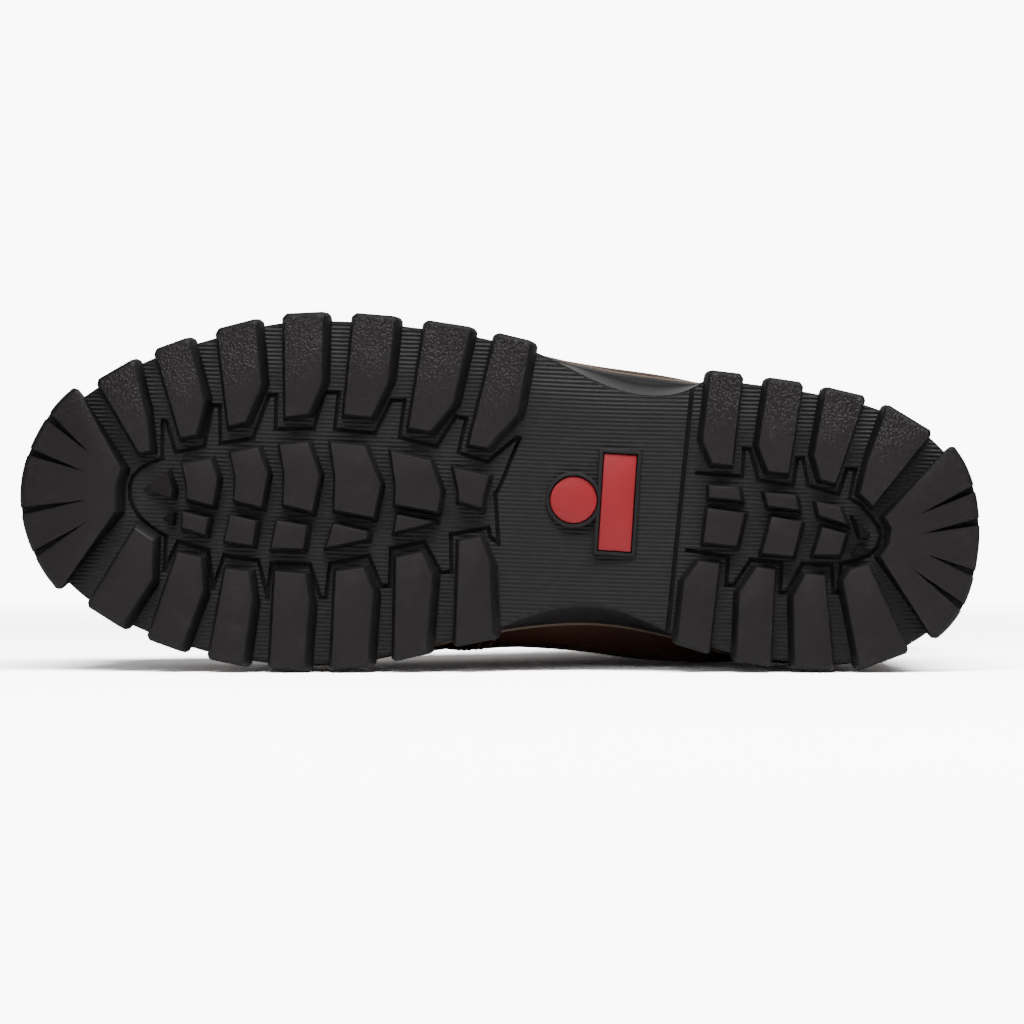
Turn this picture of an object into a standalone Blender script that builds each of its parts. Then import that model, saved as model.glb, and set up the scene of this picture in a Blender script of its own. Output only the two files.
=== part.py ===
"""A left hiking boot lying on its medial side: lugged outsole, welt, hollow upper, tongue and trim.

The boot is drawn in its own frame and then laid down. In that frame +X runs from toe to heel, +Y runs
from the tread up through the shaft and +Z runs to the lateral side. A place on the sole is given by
along, the share of the sole's length from the heel, and by across, positive on the lateral side.
"""

import math

import bmesh
import bpy
import numpy as np
from mathutils import Matrix, Vector

# Sizes of the sole
SOLE_LENGTH = 0.305
BALL_WIDTH = 0.1093
HEEL_WIDTH = 0.0855
FOREFOOT_THICKNESS = 0.0185
HEEL_LIFT = 0.0135
TOE_SPRING = 0.0125
HEEL_BEVEL = 0.0025
LUG_HEIGHT = 0.0055
LUG_OVERHANG = 0.0026
LUG_SIDE_REACH = 0.0125
LUG_SHOULDER = 0.0014
LUG_DRAFT = 0.0009
LUG_ARCH_DRAFT = 0.0022
ARCH_RISE = 0.0045
ARCH_UNDERCUT_LATERAL = 0.0068
ARCH_UNDERCUT_MEDIAL = 0.0052
BASE_BEVEL = 0.0009
LIP_HEIGHT = 0.0042
LIP_STEP = 0.0009
SIPE_WIDTH = 0.0027
SIPE_DEPTH = 0.0040
BREAST_GROOVE_WIDTH = 0.0016
BREAST_GROOVE_DEPTH = 0.0014

# Sizes of the red inlays on the arch
BAR_LENGTH = 0.031
BAR_WIDTH = 0.0105
DISC_DIAMETER = 0.0150
INLAY_SPACING = 0.0013
INLAY_THICKNESS = 0.0014
FRAME_WALL = 0.0015
FRAME_HEIGHT = 0.0019

# Sizes of the welt, the upper and what is fixed to it
WELT_THICKNESS = 0.0030
WELT_WIDTH = 0.0052
UPPER_WALL = 0.0022
INSTEP_HEIGHT = 0.080
SHAFT_RISE = 0.060
TOE_SWING = 0.0045
SWELL_LEVEL = 0.15
OVERLAY_THICKNESS = 0.0015
CUFF_THICKNESS = 0.0034
INSOLE_THICKNESS = 0.0040
TONGUE_THICKNESS = 0.0042
TONGUE_CROWN = 0.0030
TONGUE_STAND = 0.014
TONGUE_TAPER = 0.35
TONGUE_END_COLUMNS = 4
EYELET_PAIRS = 6
EYELET_RADIUS = 0.0034
EYELET_WIRE = 0.0010
LACE_DIAMETER = 0.0036
LOOP_WIDTH = 0.013
LOOP_THICKNESS = 0.0018
LOOP_HEIGHT = 0.017

# Clearances and how finely curved pieces are divided
GAP = 0.0003
CUFF_GAP = 0.0008
TONGUE_GAP = 0.0014
LOOP_GAP = 0.0010
LACE_GAP = 0.0016
ROOT = 0.0015
SOLE_STATIONS = 48
UPPER_COLUMNS = 24
TIP_ARC_POINTS = 13
LOOP_ARC_STEPS = 6
LEAST_STEP = 0.008
PROBE_STEP = 0.01
CREASE_ANGLE = 40

# Where the sole changes along its length: its width, its toe spring, the bevel under the heel, the heel's
# lift, the raised arch and the undercut side of the arch
WIDTH_CHANGE = (0.28, 0.50)
SPRING_START = 0.70
BEVEL_END = 0.08
LIFT_CHANGE = (0.25, 0.62)
ARCH_SPAN = (0.30, 0.50)
UNDERCUT_SPAN = (0.295, 0.478)

# Shape of the sole's side in shares: undercut low and under the lip, and height of the latter in lips
UNDERCUT_LOW = 0.92
UNDERCUT_HIGH = 0.30
LIP_FOOT = 1.4

# How much of a lug's draft is reached at its shoulder and where it meets the base
SHOULDER_DRAFT = 0.35
FOOT_DRAFT = 0.9

# The sole's ends, as along and across in shares of length and ball width
TOE_TIP = (0.991, 0.027)
HEEL_TIP = (0.008, -0.015)

# The sole's edge: along, then lateral and medial reach as shares of the local width
OUTLINE = (
    (0.978, 0.174, 0.124),
    (0.955, 0.274, 0.220),
    (0.920, 0.350, 0.297),
    (0.870, 0.425, 0.364),
    (0.800, 0.494, 0.421),
    (0.730, 0.543, 0.448),
    (0.660, 0.552, 0.444),
    (0.590, 0.540, 0.403),
    (0.530, 0.520, 0.357),
    (0.460, 0.491, 0.323),
    (0.390, 0.502, 0.340),
    (0.320, 0.534, 0.411),
    (0.250, 0.526, 0.484),
    (0.180, 0.498, 0.506),
    (0.110, 0.447, 0.494),
    (0.050, 0.339, 0.386),
    (0.020, 0.205, 0.251),
)

# Side lugs. The near side of a lug faces the arch and has a knee in it. Columns: far and near end of the
# outer edge, knee along and across, near inner corner, far inner corner. Across is a share of the ball
# width in the forefoot and of the heel width in the heel.
LATERAL_LUGS = (
    (0.926, 0.889, 0.870, 0.235, 0.866, 0.155, 0.877, 0.148),
    (0.865, 0.832, 0.811, 0.303, 0.818, 0.205, 0.834, 0.196),
    (0.800, 0.761, 0.752, 0.352, 0.767, 0.246, 0.784, 0.234),
    (0.730, 0.690, 0.689, 0.365, 0.702, 0.275, 0.725, 0.265),
    (0.657, 0.615, 0.620, 0.375, 0.636, 0.273, 0.664, 0.278),
    (0.582, 0.536, 0.552, 0.317, 0.574, 0.237, 0.596, 0.246),
    (0.508, 0.473, 0.484, 0.297, 0.515, 0.194, 0.533, 0.203),
)
MEDIAL_LUGS = (
    (0.927, 0.891, 0.859, -0.216, 0.859, -0.108, 0.879, -0.073),
    (0.861, 0.827, 0.805, -0.242, 0.808, -0.152, 0.833, -0.140),
    (0.796, 0.761, 0.753, -0.259, 0.758, -0.189, 0.782, -0.183),
    (0.732, 0.697, 0.694, -0.258, 0.699, -0.191, 0.730, -0.186),
    (0.668, 0.631, 0.628, -0.233, 0.639, -0.167, 0.667, -0.181),
    (0.603, 0.571, 0.567, -0.180, 0.579, -0.117, 0.605, -0.135),
    (0.540, 0.502, 0.508, -0.134, 0.519, -0.067, 0.540, -0.080),
)
HEEL_LATERAL_LUGS = (
    (0.251, 0.284, 0.290, 0.298, 0.279, 0.220, 0.259, 0.214),
    (0.188, 0.223, 0.232, 0.288, 0.221, 0.197, 0.200, 0.191),
    (0.122, 0.163, 0.174, 0.261, 0.166, 0.174, 0.151, 0.159),
    (0.051, 0.098, 0.118, 0.242, 0.125, 0.125, 0.111, 0.081),
)
HEEL_MEDIAL_LUGS = (
    (0.277, 0.310, 0.305, -0.221, 0.290, -0.148, 0.269, -0.158),
    (0.213, 0.248, 0.247, -0.255, 0.230, -0.162, 0.211, -0.173),
    (0.147, 0.187, 0.191, -0.266, 0.179, -0.182, 0.159, -0.188),
    (0.069, 0.119, 0.140, -0.200, 0.132, -0.160, 0.114, -0.141),
)

# Chevrons down the middle of the forefoot. Columns: front, back, top at the front and back, point along
# and across, foot along and across, notch across
CHEVRONS = (
    (0.831, 0.802, 0.117, 0.134, 0.794, 0.079, 0.798, 0.002, 0.048),
    (0.781, 0.753, 0.153, 0.171, 0.742, 0.097, 0.747, 0.001, 0.087),
    (0.730, 0.701, 0.180, 0.190, 0.688, 0.100, 0.694, -0.007, 0.099),
    (0.677, 0.642, 0.192, 0.186, 0.624, 0.077, 0.630, -0.018, 0.092),
    (0.614, 0.573, 0.173, 0.150, 0.561, 0.064, 0.564, 0.004, 0.077),
    (0.548, 0.512, 0.130, 0.111, 0.517, 0.053, 0.518, 0.020, 0.062),
)
CHEVRON_NOTCH = 0.006
CHEVRON_FOOT_RISE = 0.018

# Four-sided centre lugs. Columns: front, back, top at the front and back, lower back corner, lower front
# corner. The first table belongs to the forefoot and the second to the heel.
FOREFOOT_BLOCKS = (
    (0.829, 0.802, -0.021, -0.037, 0.805, -0.084, 0.829, -0.066),
    (0.779, 0.752, -0.027, -0.042, 0.755, -0.111, 0.784, -0.101),
    (0.730, 0.699, -0.038, -0.050, 0.702, -0.116, 0.735, -0.117),
    (0.671, 0.636, -0.042, -0.062, 0.636, -0.082, 0.678, -0.110),
    (0.605, 0.571, -0.010, -0.026, 0.578, -0.036, 0.608, -0.059),
)
HEEL_BLOCKS = (
    (0.282, 0.252, 0.134, 0.132, 0.249, 0.086, 0.282, 0.092),
    (0.224, 0.192, 0.115, 0.108, 0.189, 0.058, 0.220, 0.068),
    (0.170, 0.146, 0.087, 0.071, 0.139, 0.012, 0.167, 0.040),
    (0.283, 0.245, 0.050, 0.035, 0.252, -0.085, 0.286, -0.076),
    (0.216, 0.185, 0.026, 0.010, 0.193, -0.115, 0.225, -0.108),
    (0.163, 0.139, -0.007, -0.028, 0.145, -0.104, 0.171, -0.107),
)

# Inner edges of the toe and heel blocks, from the lateral to the medial side, as along and across
TOE_BLOCK_INNER = ((0.940, 0.321), (0.897, 0.101), (0.902, 0.055), (0.901, -0.026), (0.949, -0.250))
HEEL_BLOCK_INNER = (
    (0.037, 0.310),
    (0.098, 0.040),
    (0.091, 0.000),
    (0.093, -0.060),
    (0.102, -0.106),
    (0.049, -0.400),
)

# Cuts in the two blocks: rim along and across, tip along and across
TOE_SIPES = (
    (0.976, 0.248, 0.930, 0.143),
    (0.996, 0.145, 0.934, 0.088),
    (0.999, -0.030, 0.931, 0.006),
    (0.987, -0.160, 0.930, -0.058),
)
HEEL_SIPES = (
    (0.000, 0.168, 0.063, 0.053),
    (-0.004, 0.040, 0.060, -0.018),
    (-0.001, -0.163, 0.054, -0.092),
    (0.011, -0.292, 0.069, -0.146),
)

# Ends of the groove in front of the heel, and the places of the red inlays on the arch
BREAST_ENDS = ((0.300, 0.60), (0.323, -0.60))
BAR_PLACE = (0.376, 0.050)
BAR_LEAN = math.radians(1.8)
DISC_ACROSS = 0.054

# The upper's sections, from the toe at 0 round either side to the heel at 1. Columns: place round the
# edge; lateral and medial swell over the welt in shares of the ball width; then along, out and level of a
# low, a high and an edge point. Out is a share of half the local width. Level 1 is the instep's height
# and level 2 the top of the shaft.
UPPER_SECTIONS = (
    (0.00, 0.022, 0.022, 0.957, 0.00, 0.50, 0.840, 0.00, 0.66, 0.672, 0.00, 0.80),
    (0.08, 0.022, 0.022, 0.952, 0.20, 0.50, 0.838, 0.13, 0.66, 0.670, 0.14, 0.80),
    (0.15, 0.024, 0.024, 0.925, 0.43, 0.50, 0.830, 0.28, 0.66, 0.664, 0.22, 0.82),
    (0.22, 0.026, 0.026, 0.868, 0.60, 0.49, 0.805, 0.40, 0.68, 0.648, 0.27, 0.86),
    (0.30, 0.028, 0.028, 0.785, 0.72, 0.48, 0.755, 0.51, 0.75, 0.620, 0.29, 0.93),
    (0.40, 0.028, 0.036, 0.655, 0.77, 0.50, 0.645, 0.60, 0.86, 0.565, 0.31, 1.08),
    (0.50, 0.030, 0.085, 0.510, 0.72, 0.55, 0.505, 0.60, 1.02, 0.485, 0.32, 1.40),
    (0.60, 0.030, 0.095, 0.360, 0.80, 0.55, 0.385, 0.70, 1.15, 0.400, 0.38, 1.85),
    (0.70, 0.024, 0.036, 0.215, 0.86, 0.55, 0.235, 0.84, 1.20, 0.300, 0.72, 2.00),
    (0.80, 0.022, 0.022, 0.110, 0.74, 0.50, 0.130, 0.70, 1.15, 0.165, 0.84, 1.98),
    (0.90, 0.022, 0.022, 0.035, 0.42, 0.46, 0.062, 0.42, 1.12, 0.062, 0.50, 1.98),
    (1.00, 0.022, 0.022, 0.012, 0.00, 0.44, 0.046, 0.00, 1.10, 0.034, 0.00, 2.00),
)
PROFILE_KNOTS = (0.0, 0.14, 0.42, 0.70, 1.0)
SWING_CHANGE = (0.15, 0.65)
UPPER_RINGS = (0.0, 0.07, 0.14, 0.25, 0.36, 0.48, 0.60, 0.70, 0.80, 0.90, 1.0)

# Overlays as ranges of the upper's own columns and rings: first and last place round, first and last rise
TOE_CAP_RANGE = (0.25, 0.07, 0.60)
COUNTER_RANGE = (0.7083, 0.07, 0.48)
EYESTAY_RANGE = (0.625, 0.80, 1.0)
CUFF_RANGE = (0.640, 0.80, 1.0)
TONGUE_RISES = (0.70, 0.80, 0.90, 1.0)
LOOP_INSIDE_RISE = 0.90
EYELET_RISE = 0.90
EYELET_FIRST = 0.17
EYELET_LAST = 0.60
LACE_TURN = 0.2
LACE_EDGE_RISE = 0.99

RUBBER = ("rubber", (0.020, 0.018, 0.019), 0.55, 0.0)
RED_RUBBER = ("red_rubber", (0.46, 0.030, 0.032), 0.50, 0.0)
WELT_LEATHER = ("welt_leather", (0.160, 0.085, 0.040), 0.60, 0.0)
BROWN_LEATHER = ("brown_leather", (0.075, 0.036, 0.018), 0.55, 0.0)
DARK_LEATHER = ("dark_leather", (0.045, 0.022, 0.013), 0.55, 0.0)
LINING = ("lining_fabric", (0.110, 0.085, 0.060), 0.90, 0.0)
LACE_FABRIC = ("lace_fabric", (0.090, 0.050, 0.022), 0.85, 0.0)
DARK_METAL = ("dark_metal", (0.100, 0.085, 0.065), 0.35, 1.0)


def clear_scene():
    for obj in list(bpy.data.objects):
        bpy.data.objects.remove(obj, do_unlink=True)


def new_collection(name, hidden=False):
    collection = bpy.data.collections.new(name)
    bpy.context.scene.collection.children.link(collection)
    collection.hide_render = hidden
    return collection


def material_of(spec):
    name, colour, roughness, metallic = spec
    found = bpy.data.materials.get(name)
    if found:
        return found
    material = bpy.data.materials.new(name)
    material.use_nodes = True
    shader = material.node_tree.nodes["Principled BSDF"]
    shader.inputs["Base Color"].default_value = (*colour, 1.0)
    shader.inputs["Roughness"].default_value = roughness
    shader.inputs["Metallic"].default_value = metallic
    return material


def spline(knots, values, at):
    """The value at a place on the smooth curve that passes through values at knots."""
    last = len(knots) - 1
    i = min(max(int(np.searchsorted(knots, at)) - 1, 0), last - 1)
    span = knots[i + 1] - knots[i]
    t = (at - knots[i]) / span

    def slope(k):
        low = max(k - 1, 0)
        high = min(k + 1, last)
        return (values[high] - values[low]) / (knots[high] - knots[low])

    start = slope(i) * span
    end = slope(i + 1) * span
    a, b = values[i], values[i + 1]
    return (
        a * (2 * t**3 - 3 * t**2 + 1)
        + start * (t**3 - 2 * t**2 + t)
        + b * (3 * t**2 - 2 * t**3)
        + end * (t**3 - t**2)
    )


def ramp(at, low, high):
    """A smooth step from 0 at low to 1 at high."""
    t = min(max((at - low) / (high - low), 0.0), 1.0)
    return t * t * (3 - 2 * t)


def bump(at, low, high):
    """A smooth hump from 0 at low up to 1 and back to 0 at high."""
    t = min(max((at - low) / (high - low), 0.0), 1.0)
    return math.sin(math.pi * t) ** 1.5


def local_width(along):
    return HEEL_WIDTH + (BALL_WIDTH - HEEL_WIDTH) * ramp(along, *WIDTH_CHANGE)


def tread(along):
    """Height of the walking surface over the ground that a standing boot touches."""
    spring = max(along - SPRING_START, 0.0) / (1.0 - SPRING_START)
    bevel = max(BEVEL_END - along, 0.0) / BEVEL_END
    return TOE_SPRING * spring**2 + HEEL_BEVEL * bevel**1.5


def base(along):
    """Height of the surface between the lugs."""
    return tread(along) + LUG_HEIGHT + ARCH_RISE * bump(along, *ARCH_SPAN)


def sole_top(along):
    return tread(along) + FOREFOOT_THICKNESS + HEEL_LIFT * (1 - ramp(along, *LIFT_CHANGE))


def place(along, across, height):
    return Vector(((0.5 - along) * SOLE_LENGTH, height, across))


def turn_of(along):
    """Angle round the sole of a place along it, from 0 at the toe tip to pi at the heel tip."""
    middle = (TOE_TIP[0] + HEEL_TIP[0]) / 2
    half = (TOE_TIP[0] - HEEL_TIP[0]) / 2
    return math.acos(min(max((along - middle) / half, -1.0), 1.0))


def along_of(turn):
    middle = (TOE_TIP[0] + HEEL_TIP[0]) / 2
    half = (TOE_TIP[0] - HEEL_TIP[0]) / 2
    return middle + half * math.cos(turn)


def edge_tables():
    """Knots and signed across values of the sole's edge for each side, with the ends carried round."""
    turns = [turn_of(row[0]) for row in OUTLINE]
    sides = {}
    for side, column, other in ((1, 1, 2), (-1, 2, 1)):
        reach = [side * row[column] * local_width(row[0]) for row in OUTLINE]
        past_toe = -side * OUTLINE[0][other] * local_width(OUTLINE[0][0])
        past_heel = -side * OUTLINE[-1][other] * local_width(OUTLINE[-1][0])
        knots = [-turns[0], 0.0, *turns, math.pi, 2 * math.pi - turns[-1]]
        values = [past_toe, TOE_TIP[1] * BALL_WIDTH, *reach, HEEL_TIP[1] * HEEL_WIDTH, past_heel]
        sides[side] = (np.array(knots), np.array(values))
    return sides


EDGE = edge_tables()


def edge_point(turn, side, inset=0.0):
    """(x, across) of the sole's edge at an angle round it, moved inwards by inset."""
    knots, values = EDGE[side]
    low, here, high = (
        Vector(((0.5 - along_of(t)) * SOLE_LENGTH, spline(knots, values, t)))
        for t in (turn - PROBE_STEP, turn, turn + PROBE_STEP)
    )
    run = (high - low).normalized()
    inward = Vector((run.y, -run.x)) * side
    return here + inward * inset


def edge_across(along, side, inset=0.0):
    """Across of the edge at a place along the sole, after an inset."""
    return edge_point(turn_of(along), side, inset).y


def upper_seat(along):
    """Height of the upper's lower edge, which stands on the welt."""
    return sole_top(along) + WELT_THICKNESS + 2 * GAP


def undercut(along, side):
    """How far the arch's tread edge lies inside the welt."""
    depth = ARCH_UNDERCUT_LATERAL if side > 0 else ARCH_UNDERCUT_MEDIAL
    return depth * bump(along, *UNDERCUT_SPAN)


def mesh_object(name, points, faces, spec, collection):
    mesh = bpy.data.meshes.new(name)
    mesh.from_pydata([tuple(p) for p in points], [], faces)
    obj = bpy.data.objects.new(name, mesh)
    collection.objects.link(obj)
    mesh.materials.append(material_of(spec))
    return obj


def finish_mesh(obj, smooth=False):
    """Merges doubles, turns faces outwards and may shade smooth up to the crease angle."""
    work = bmesh.new()
    work.from_mesh(obj.data)
    bmesh.ops.remove_doubles(work, verts=work.verts, dist=1e-6)
    bmesh.ops.recalc_face_normals(work, faces=work.faces)
    work.to_mesh(obj.data)
    work.free()
    if smooth:
        obj.data.shade_smooth()
        obj.data.set_sharp_from_angle(angle=math.radians(CREASE_ANGLE))
    return obj


def ring_faces(first, second, count):
    """Quads between two closed rings of count points that start at first and second."""
    return [
        (first + i, first + (i + 1) % count, second + (i + 1) % count, second + i)
        for i in range(count)
    ]


def loft(name, rings, spec, collection, caps="fan", smooth=False):
    """A closed solid through rings of equal length. Rung caps join the two sides of a sole ring."""
    count = len(rings[0])
    points = [p for ring in rings for p in ring]
    faces = []
    for k in range(len(rings) - 1):
        faces += ring_faces(k * count, (k + 1) * count, count)
    for start in (0, (len(rings) - 1) * count):
        if caps == "fan":
            faces.append([start + i for i in range(count)])
            continue
        half = count // 2
        for i in range(half):
            quad = (i, i + 1, (count - i - 1) % count, (count - i) % count)
            faces.append([start + k for k in dict.fromkeys(quad)])
    obj = mesh_object(name, points, faces, spec, collection)
    return finish_mesh(obj, smooth)


def sole_ring(inset, height):
    """A ring round the sole: lateral side from toe to heel, then the medial side back to the toe."""
    ring = []
    for k in range(SOLE_STATIONS + 1):
        ring.append((math.pi * k / SOLE_STATIONS, 1))
    for k in range(SOLE_STATIONS - 1, 0, -1):
        ring.append((math.pi * k / SOLE_STATIONS, -1))
    points = []
    for turn, side in ring:
        along = along_of(turn)
        x, across = edge_point(turn, side, inset(along, side))
        points.append(Vector((x, height(0.5 - x / SOLE_LENGTH), across)))
    return points


def sole_base(collection):
    rings = [
        sole_ring(lambda a, s: BASE_BEVEL + undercut(a, s), base),
        sole_ring(lambda a, s: UNDERCUT_LOW * undercut(a, s), lambda a: base(a) + BASE_BEVEL),
        sole_ring(
            lambda a, s: LIP_STEP + UNDERCUT_HIGH * undercut(a, s),
            lambda a: sole_top(a) - LIP_FOOT * LIP_HEIGHT,
        ),
        sole_ring(lambda a, s: LIP_STEP, lambda a: sole_top(a) - LIP_HEIGHT),
        sole_ring(lambda a, s: 0.0, lambda a: sole_top(a) - LIP_HEIGHT + LIP_STEP),
        sole_ring(lambda a, s: 0.0, sole_top),
    ]
    return loft("outsole", rings, RUBBER, collection, caps="rungs", smooth=True)


def moved_edges(corners, distances):
    """The polygon whose edges are moved outwards, each by its own distance."""
    area = sum(a.x * b.y - b.x * a.y for a, b in zip(corners, corners[1:] + corners[:1]))
    sign = 1 if area > 0 else -1
    lines = []
    for a, b, distance in zip(corners, corners[1:] + corners[:1], distances):
        run = (b - a).normalized()
        lines.append((a + Vector((run.y, -run.x)) * sign * distance, run))
    moved = []
    for (p, d), (q, e) in zip(lines[-1:] + lines[:-1], lines):
        turn = d.x * e.y - d.y * e.x
        t = ((q - p).x * e.y - (q - p).y * e.x) / turn if abs(turn) > 1e-6 else 0.0
        moved.append(p + d * t if abs(turn) > 1e-6 else q)
    return moved


def lifted(corners, height):
    """A flat polygon of (x, across) raised to a height that depends on its place along the sole."""
    return [Vector((c.x, height(0.5 - c.x / SOLE_LENGTH), c.y)) for c in corners]


def lug_solid(collection, corners, drafts, outer=None):
    """A lug from its face down into the base. The edge numbered outer also climbs the sole's side."""
    def spread(share, outer_distance):
        distances = [d * share for d in drafts]
        if outer is not None:
            distances[outer] = outer_distance
        return moved_edges(corners, distances)

    rings = [
        lifted(spread(0.0, -LUG_SHOULDER), tread),
        lifted(spread(SHOULDER_DRAFT, 0.0), lambda a: tread(a) + LUG_SHOULDER),
    ]
    if outer is None:
        rings.append(lifted(spread(1.0, 0.0), lambda a: tread(a) + LUG_HEIGHT + ROOT))
    else:
        rings.append(lifted(spread(FOOT_DRAFT, 0.0), lambda a: tread(a) + LUG_HEIGHT))
        rings.append(lifted(spread(1.0, -LUG_OVERHANG - ROOT), lambda a: tread(a) + LUG_SIDE_REACH))
    return loft("lug", rings, RUBBER, collection)


def flat(along, across):
    return Vector(((0.5 - along) * SOLE_LENGTH, across))


def side_lug(collection, row, side, width):
    far, near, knee, knee_across, near_in, near_across, far_in, far_across = row
    corners = [
        flat(far, edge_across(far, side, -LUG_OVERHANG)),
        flat(near, edge_across(near, side, -LUG_OVERHANG)),
        flat(knee, knee_across * width),
        flat(near_in, near_across * width),
        flat(far_in, far_across * width),
    ]
    drafts = [0.0, LUG_ARCH_DRAFT, LUG_ARCH_DRAFT, LUG_DRAFT, LUG_DRAFT]
    return lug_solid(collection, corners, drafts, outer=0)


def chevron(collection, row):
    front, back, top_front, top_back, point, point_across, foot, foot_across, notch_across = row
    shares = [
        (front, top_front),
        (back, top_back),
        (point, point_across),
        (foot, foot_across),
        (front - CHEVRON_NOTCH, foot_across + CHEVRON_FOOT_RISE),
        (front - CHEVRON_NOTCH, notch_across),
    ]
    corners = [flat(a, w * BALL_WIDTH) for a, w in shares]
    return lug_solid(collection, corners, [LUG_DRAFT] * 6)


def block_lug(collection, row, width):
    front, back, top_front, top_back, low_back, low_back_across, low_front, low_front_across = row
    shares = [
        (front, top_front),
        (back, top_back),
        (low_back, low_back_across),
        (low_front, low_front_across),
    ]
    corners = [flat(a, w * width) for a, w in shares]
    return lug_solid(collection, corners, [LUG_DRAFT] * 4)


def end_block(collection, inner, width, at_toe):
    """The toe or heel block: its inner edge by corners and its rim along the sole's own edge."""
    start = turn_of(inner[0][0])
    stop = turn_of(inner[-1][0])
    end = 0.0 if at_toe else math.pi
    rim = []
    for k in range(TIP_ARC_POINTS):
        rim.append((start + (end - start) * k / TIP_ARC_POINTS, 1))
    for k in range(TIP_ARC_POINTS + 1):
        rim.append((end + (stop - end) * k / TIP_ARC_POINTS, -1))

    def ring(rim_inset, draft, height):
        outer = [edge_point(turn, side, rim_inset) for turn, side in rim]
        pull = draft if at_toe else -draft
        inside = [flat(a, w * width) + Vector((pull, 0.0)) for a, w in reversed(inner)]
        return lifted(outer + inside[1:-1], height)

    rings = [
        ring(LUG_SHOULDER - LUG_OVERHANG, 0.0, tread),
        ring(-LUG_OVERHANG, SHOULDER_DRAFT * LUG_ARCH_DRAFT, lambda a: tread(a) + LUG_SHOULDER),
        ring(-LUG_OVERHANG, LUG_ARCH_DRAFT, lambda a: tread(a) + LUG_HEIGHT),
        ring(ROOT, LUG_ARCH_DRAFT, lambda a: tread(a) + LUG_SIDE_REACH),
    ]
    return loft("end_block", rings, RUBBER, collection)


def joined(name, objects, collection):
    """One mesh object that holds the bodies of several."""
    work = bmesh.new()
    for obj in objects:
        work.from_mesh(obj.data)
        bpy.data.objects.remove(obj, do_unlink=True)
    mesh = bpy.data.meshes.new(name)
    work.to_mesh(mesh)
    work.free()
    made = bpy.data.objects.new(name, mesh)
    collection.objects.link(made)
    made.display_type = "WIRE"
    made.hide_render = True
    return made


def boolean(obj, name, operation, other):
    modifier = obj.modifiers.new(name, "BOOLEAN")
    modifier.operation = operation
    modifier.solver = "EXACT"
    modifier.use_self = operation == "UNION"
    modifier.object = other


def sipe_cutter(collection, row, width):
    rim, rim_across, tip, tip_across = row
    outside = flat(rim, rim_across * width)
    inside = flat(tip, tip_across * width)
    run = (outside - inside).normalized()
    aside = Vector((-run.y, run.x)) * SIPE_WIDTH / 2
    corners = [outside + aside + run * ROOT, outside - aside + run * ROOT, inside]
    rings = [
        lifted(corners, lambda a: tread(a) - 2 * ROOT),
        lifted(corners, lambda a: tread(a) + SIPE_DEPTH),
    ]
    return loft("sipe", rings, RUBBER, collection)


def breast_cutter(collection):
    (front, front_across), (back, back_across) = BREAST_ENDS
    a = flat(front, front_across * HEEL_WIDTH)
    b = flat(back, back_across * HEEL_WIDTH)
    aside = Vector((0.5 * BREAST_GROOVE_WIDTH, 0.0))
    corners = [a - aside, a + aside, b + aside, b - aside]
    rings = [
        lifted(corners, lambda s: base(s) - ROOT),
        lifted(corners, lambda s: base(s) + BREAST_GROOVE_DEPTH),
    ]
    return loft("breast_groove", rings, RUBBER, collection)


def plate(name, along, across, size, low, high, spec, collection):
    """A flat bar on the arch between two heights, length across the sole and leaning a little."""
    bpy.ops.mesh.primitive_cube_add(size=1.0)
    obj = bpy.context.object
    obj.name = name
    obj.data.name = name
    for owner in list(obj.users_collection):
        owner.objects.unlink(obj)
    collection.objects.link(obj)
    centre = place(along, across * BALL_WIDTH, (low + high) / 2)
    shape = Matrix.Diagonal((size[0], high - low, size[1], 1.0))
    obj.data.transform(Matrix.Translation(centre) @ Matrix.Rotation(BAR_LEAN, 4, "Y") @ shape)
    obj.data.materials.append(material_of(spec))
    return obj


def disc_along():
    """Place of the red disc, next to the bar on the side of the toe."""
    return BAR_PLACE[0] + (BAR_WIDTH / 2 + INLAY_SPACING + DISC_DIAMETER / 2) / SOLE_LENGTH


def disc(name, diameter, low, high, spec, collection):
    """A round inlay standing on the arch between two heights."""
    bpy.ops.mesh.primitive_cylinder_add(vertices=32, radius=diameter / 2, depth=high - low)
    obj = bpy.context.object
    obj.name = name
    obj.data.name = name
    for owner in list(obj.users_collection):
        owner.objects.unlink(obj)
    collection.objects.link(obj)
    centre = place(disc_along(), DISC_ACROSS * BALL_WIDTH, (low + high) / 2)
    obj.data.transform(Matrix.Translation(centre) @ Matrix.Rotation(math.pi / 2, 4, "X"))
    obj.data.materials.append(material_of(spec))
    return obj


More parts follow.
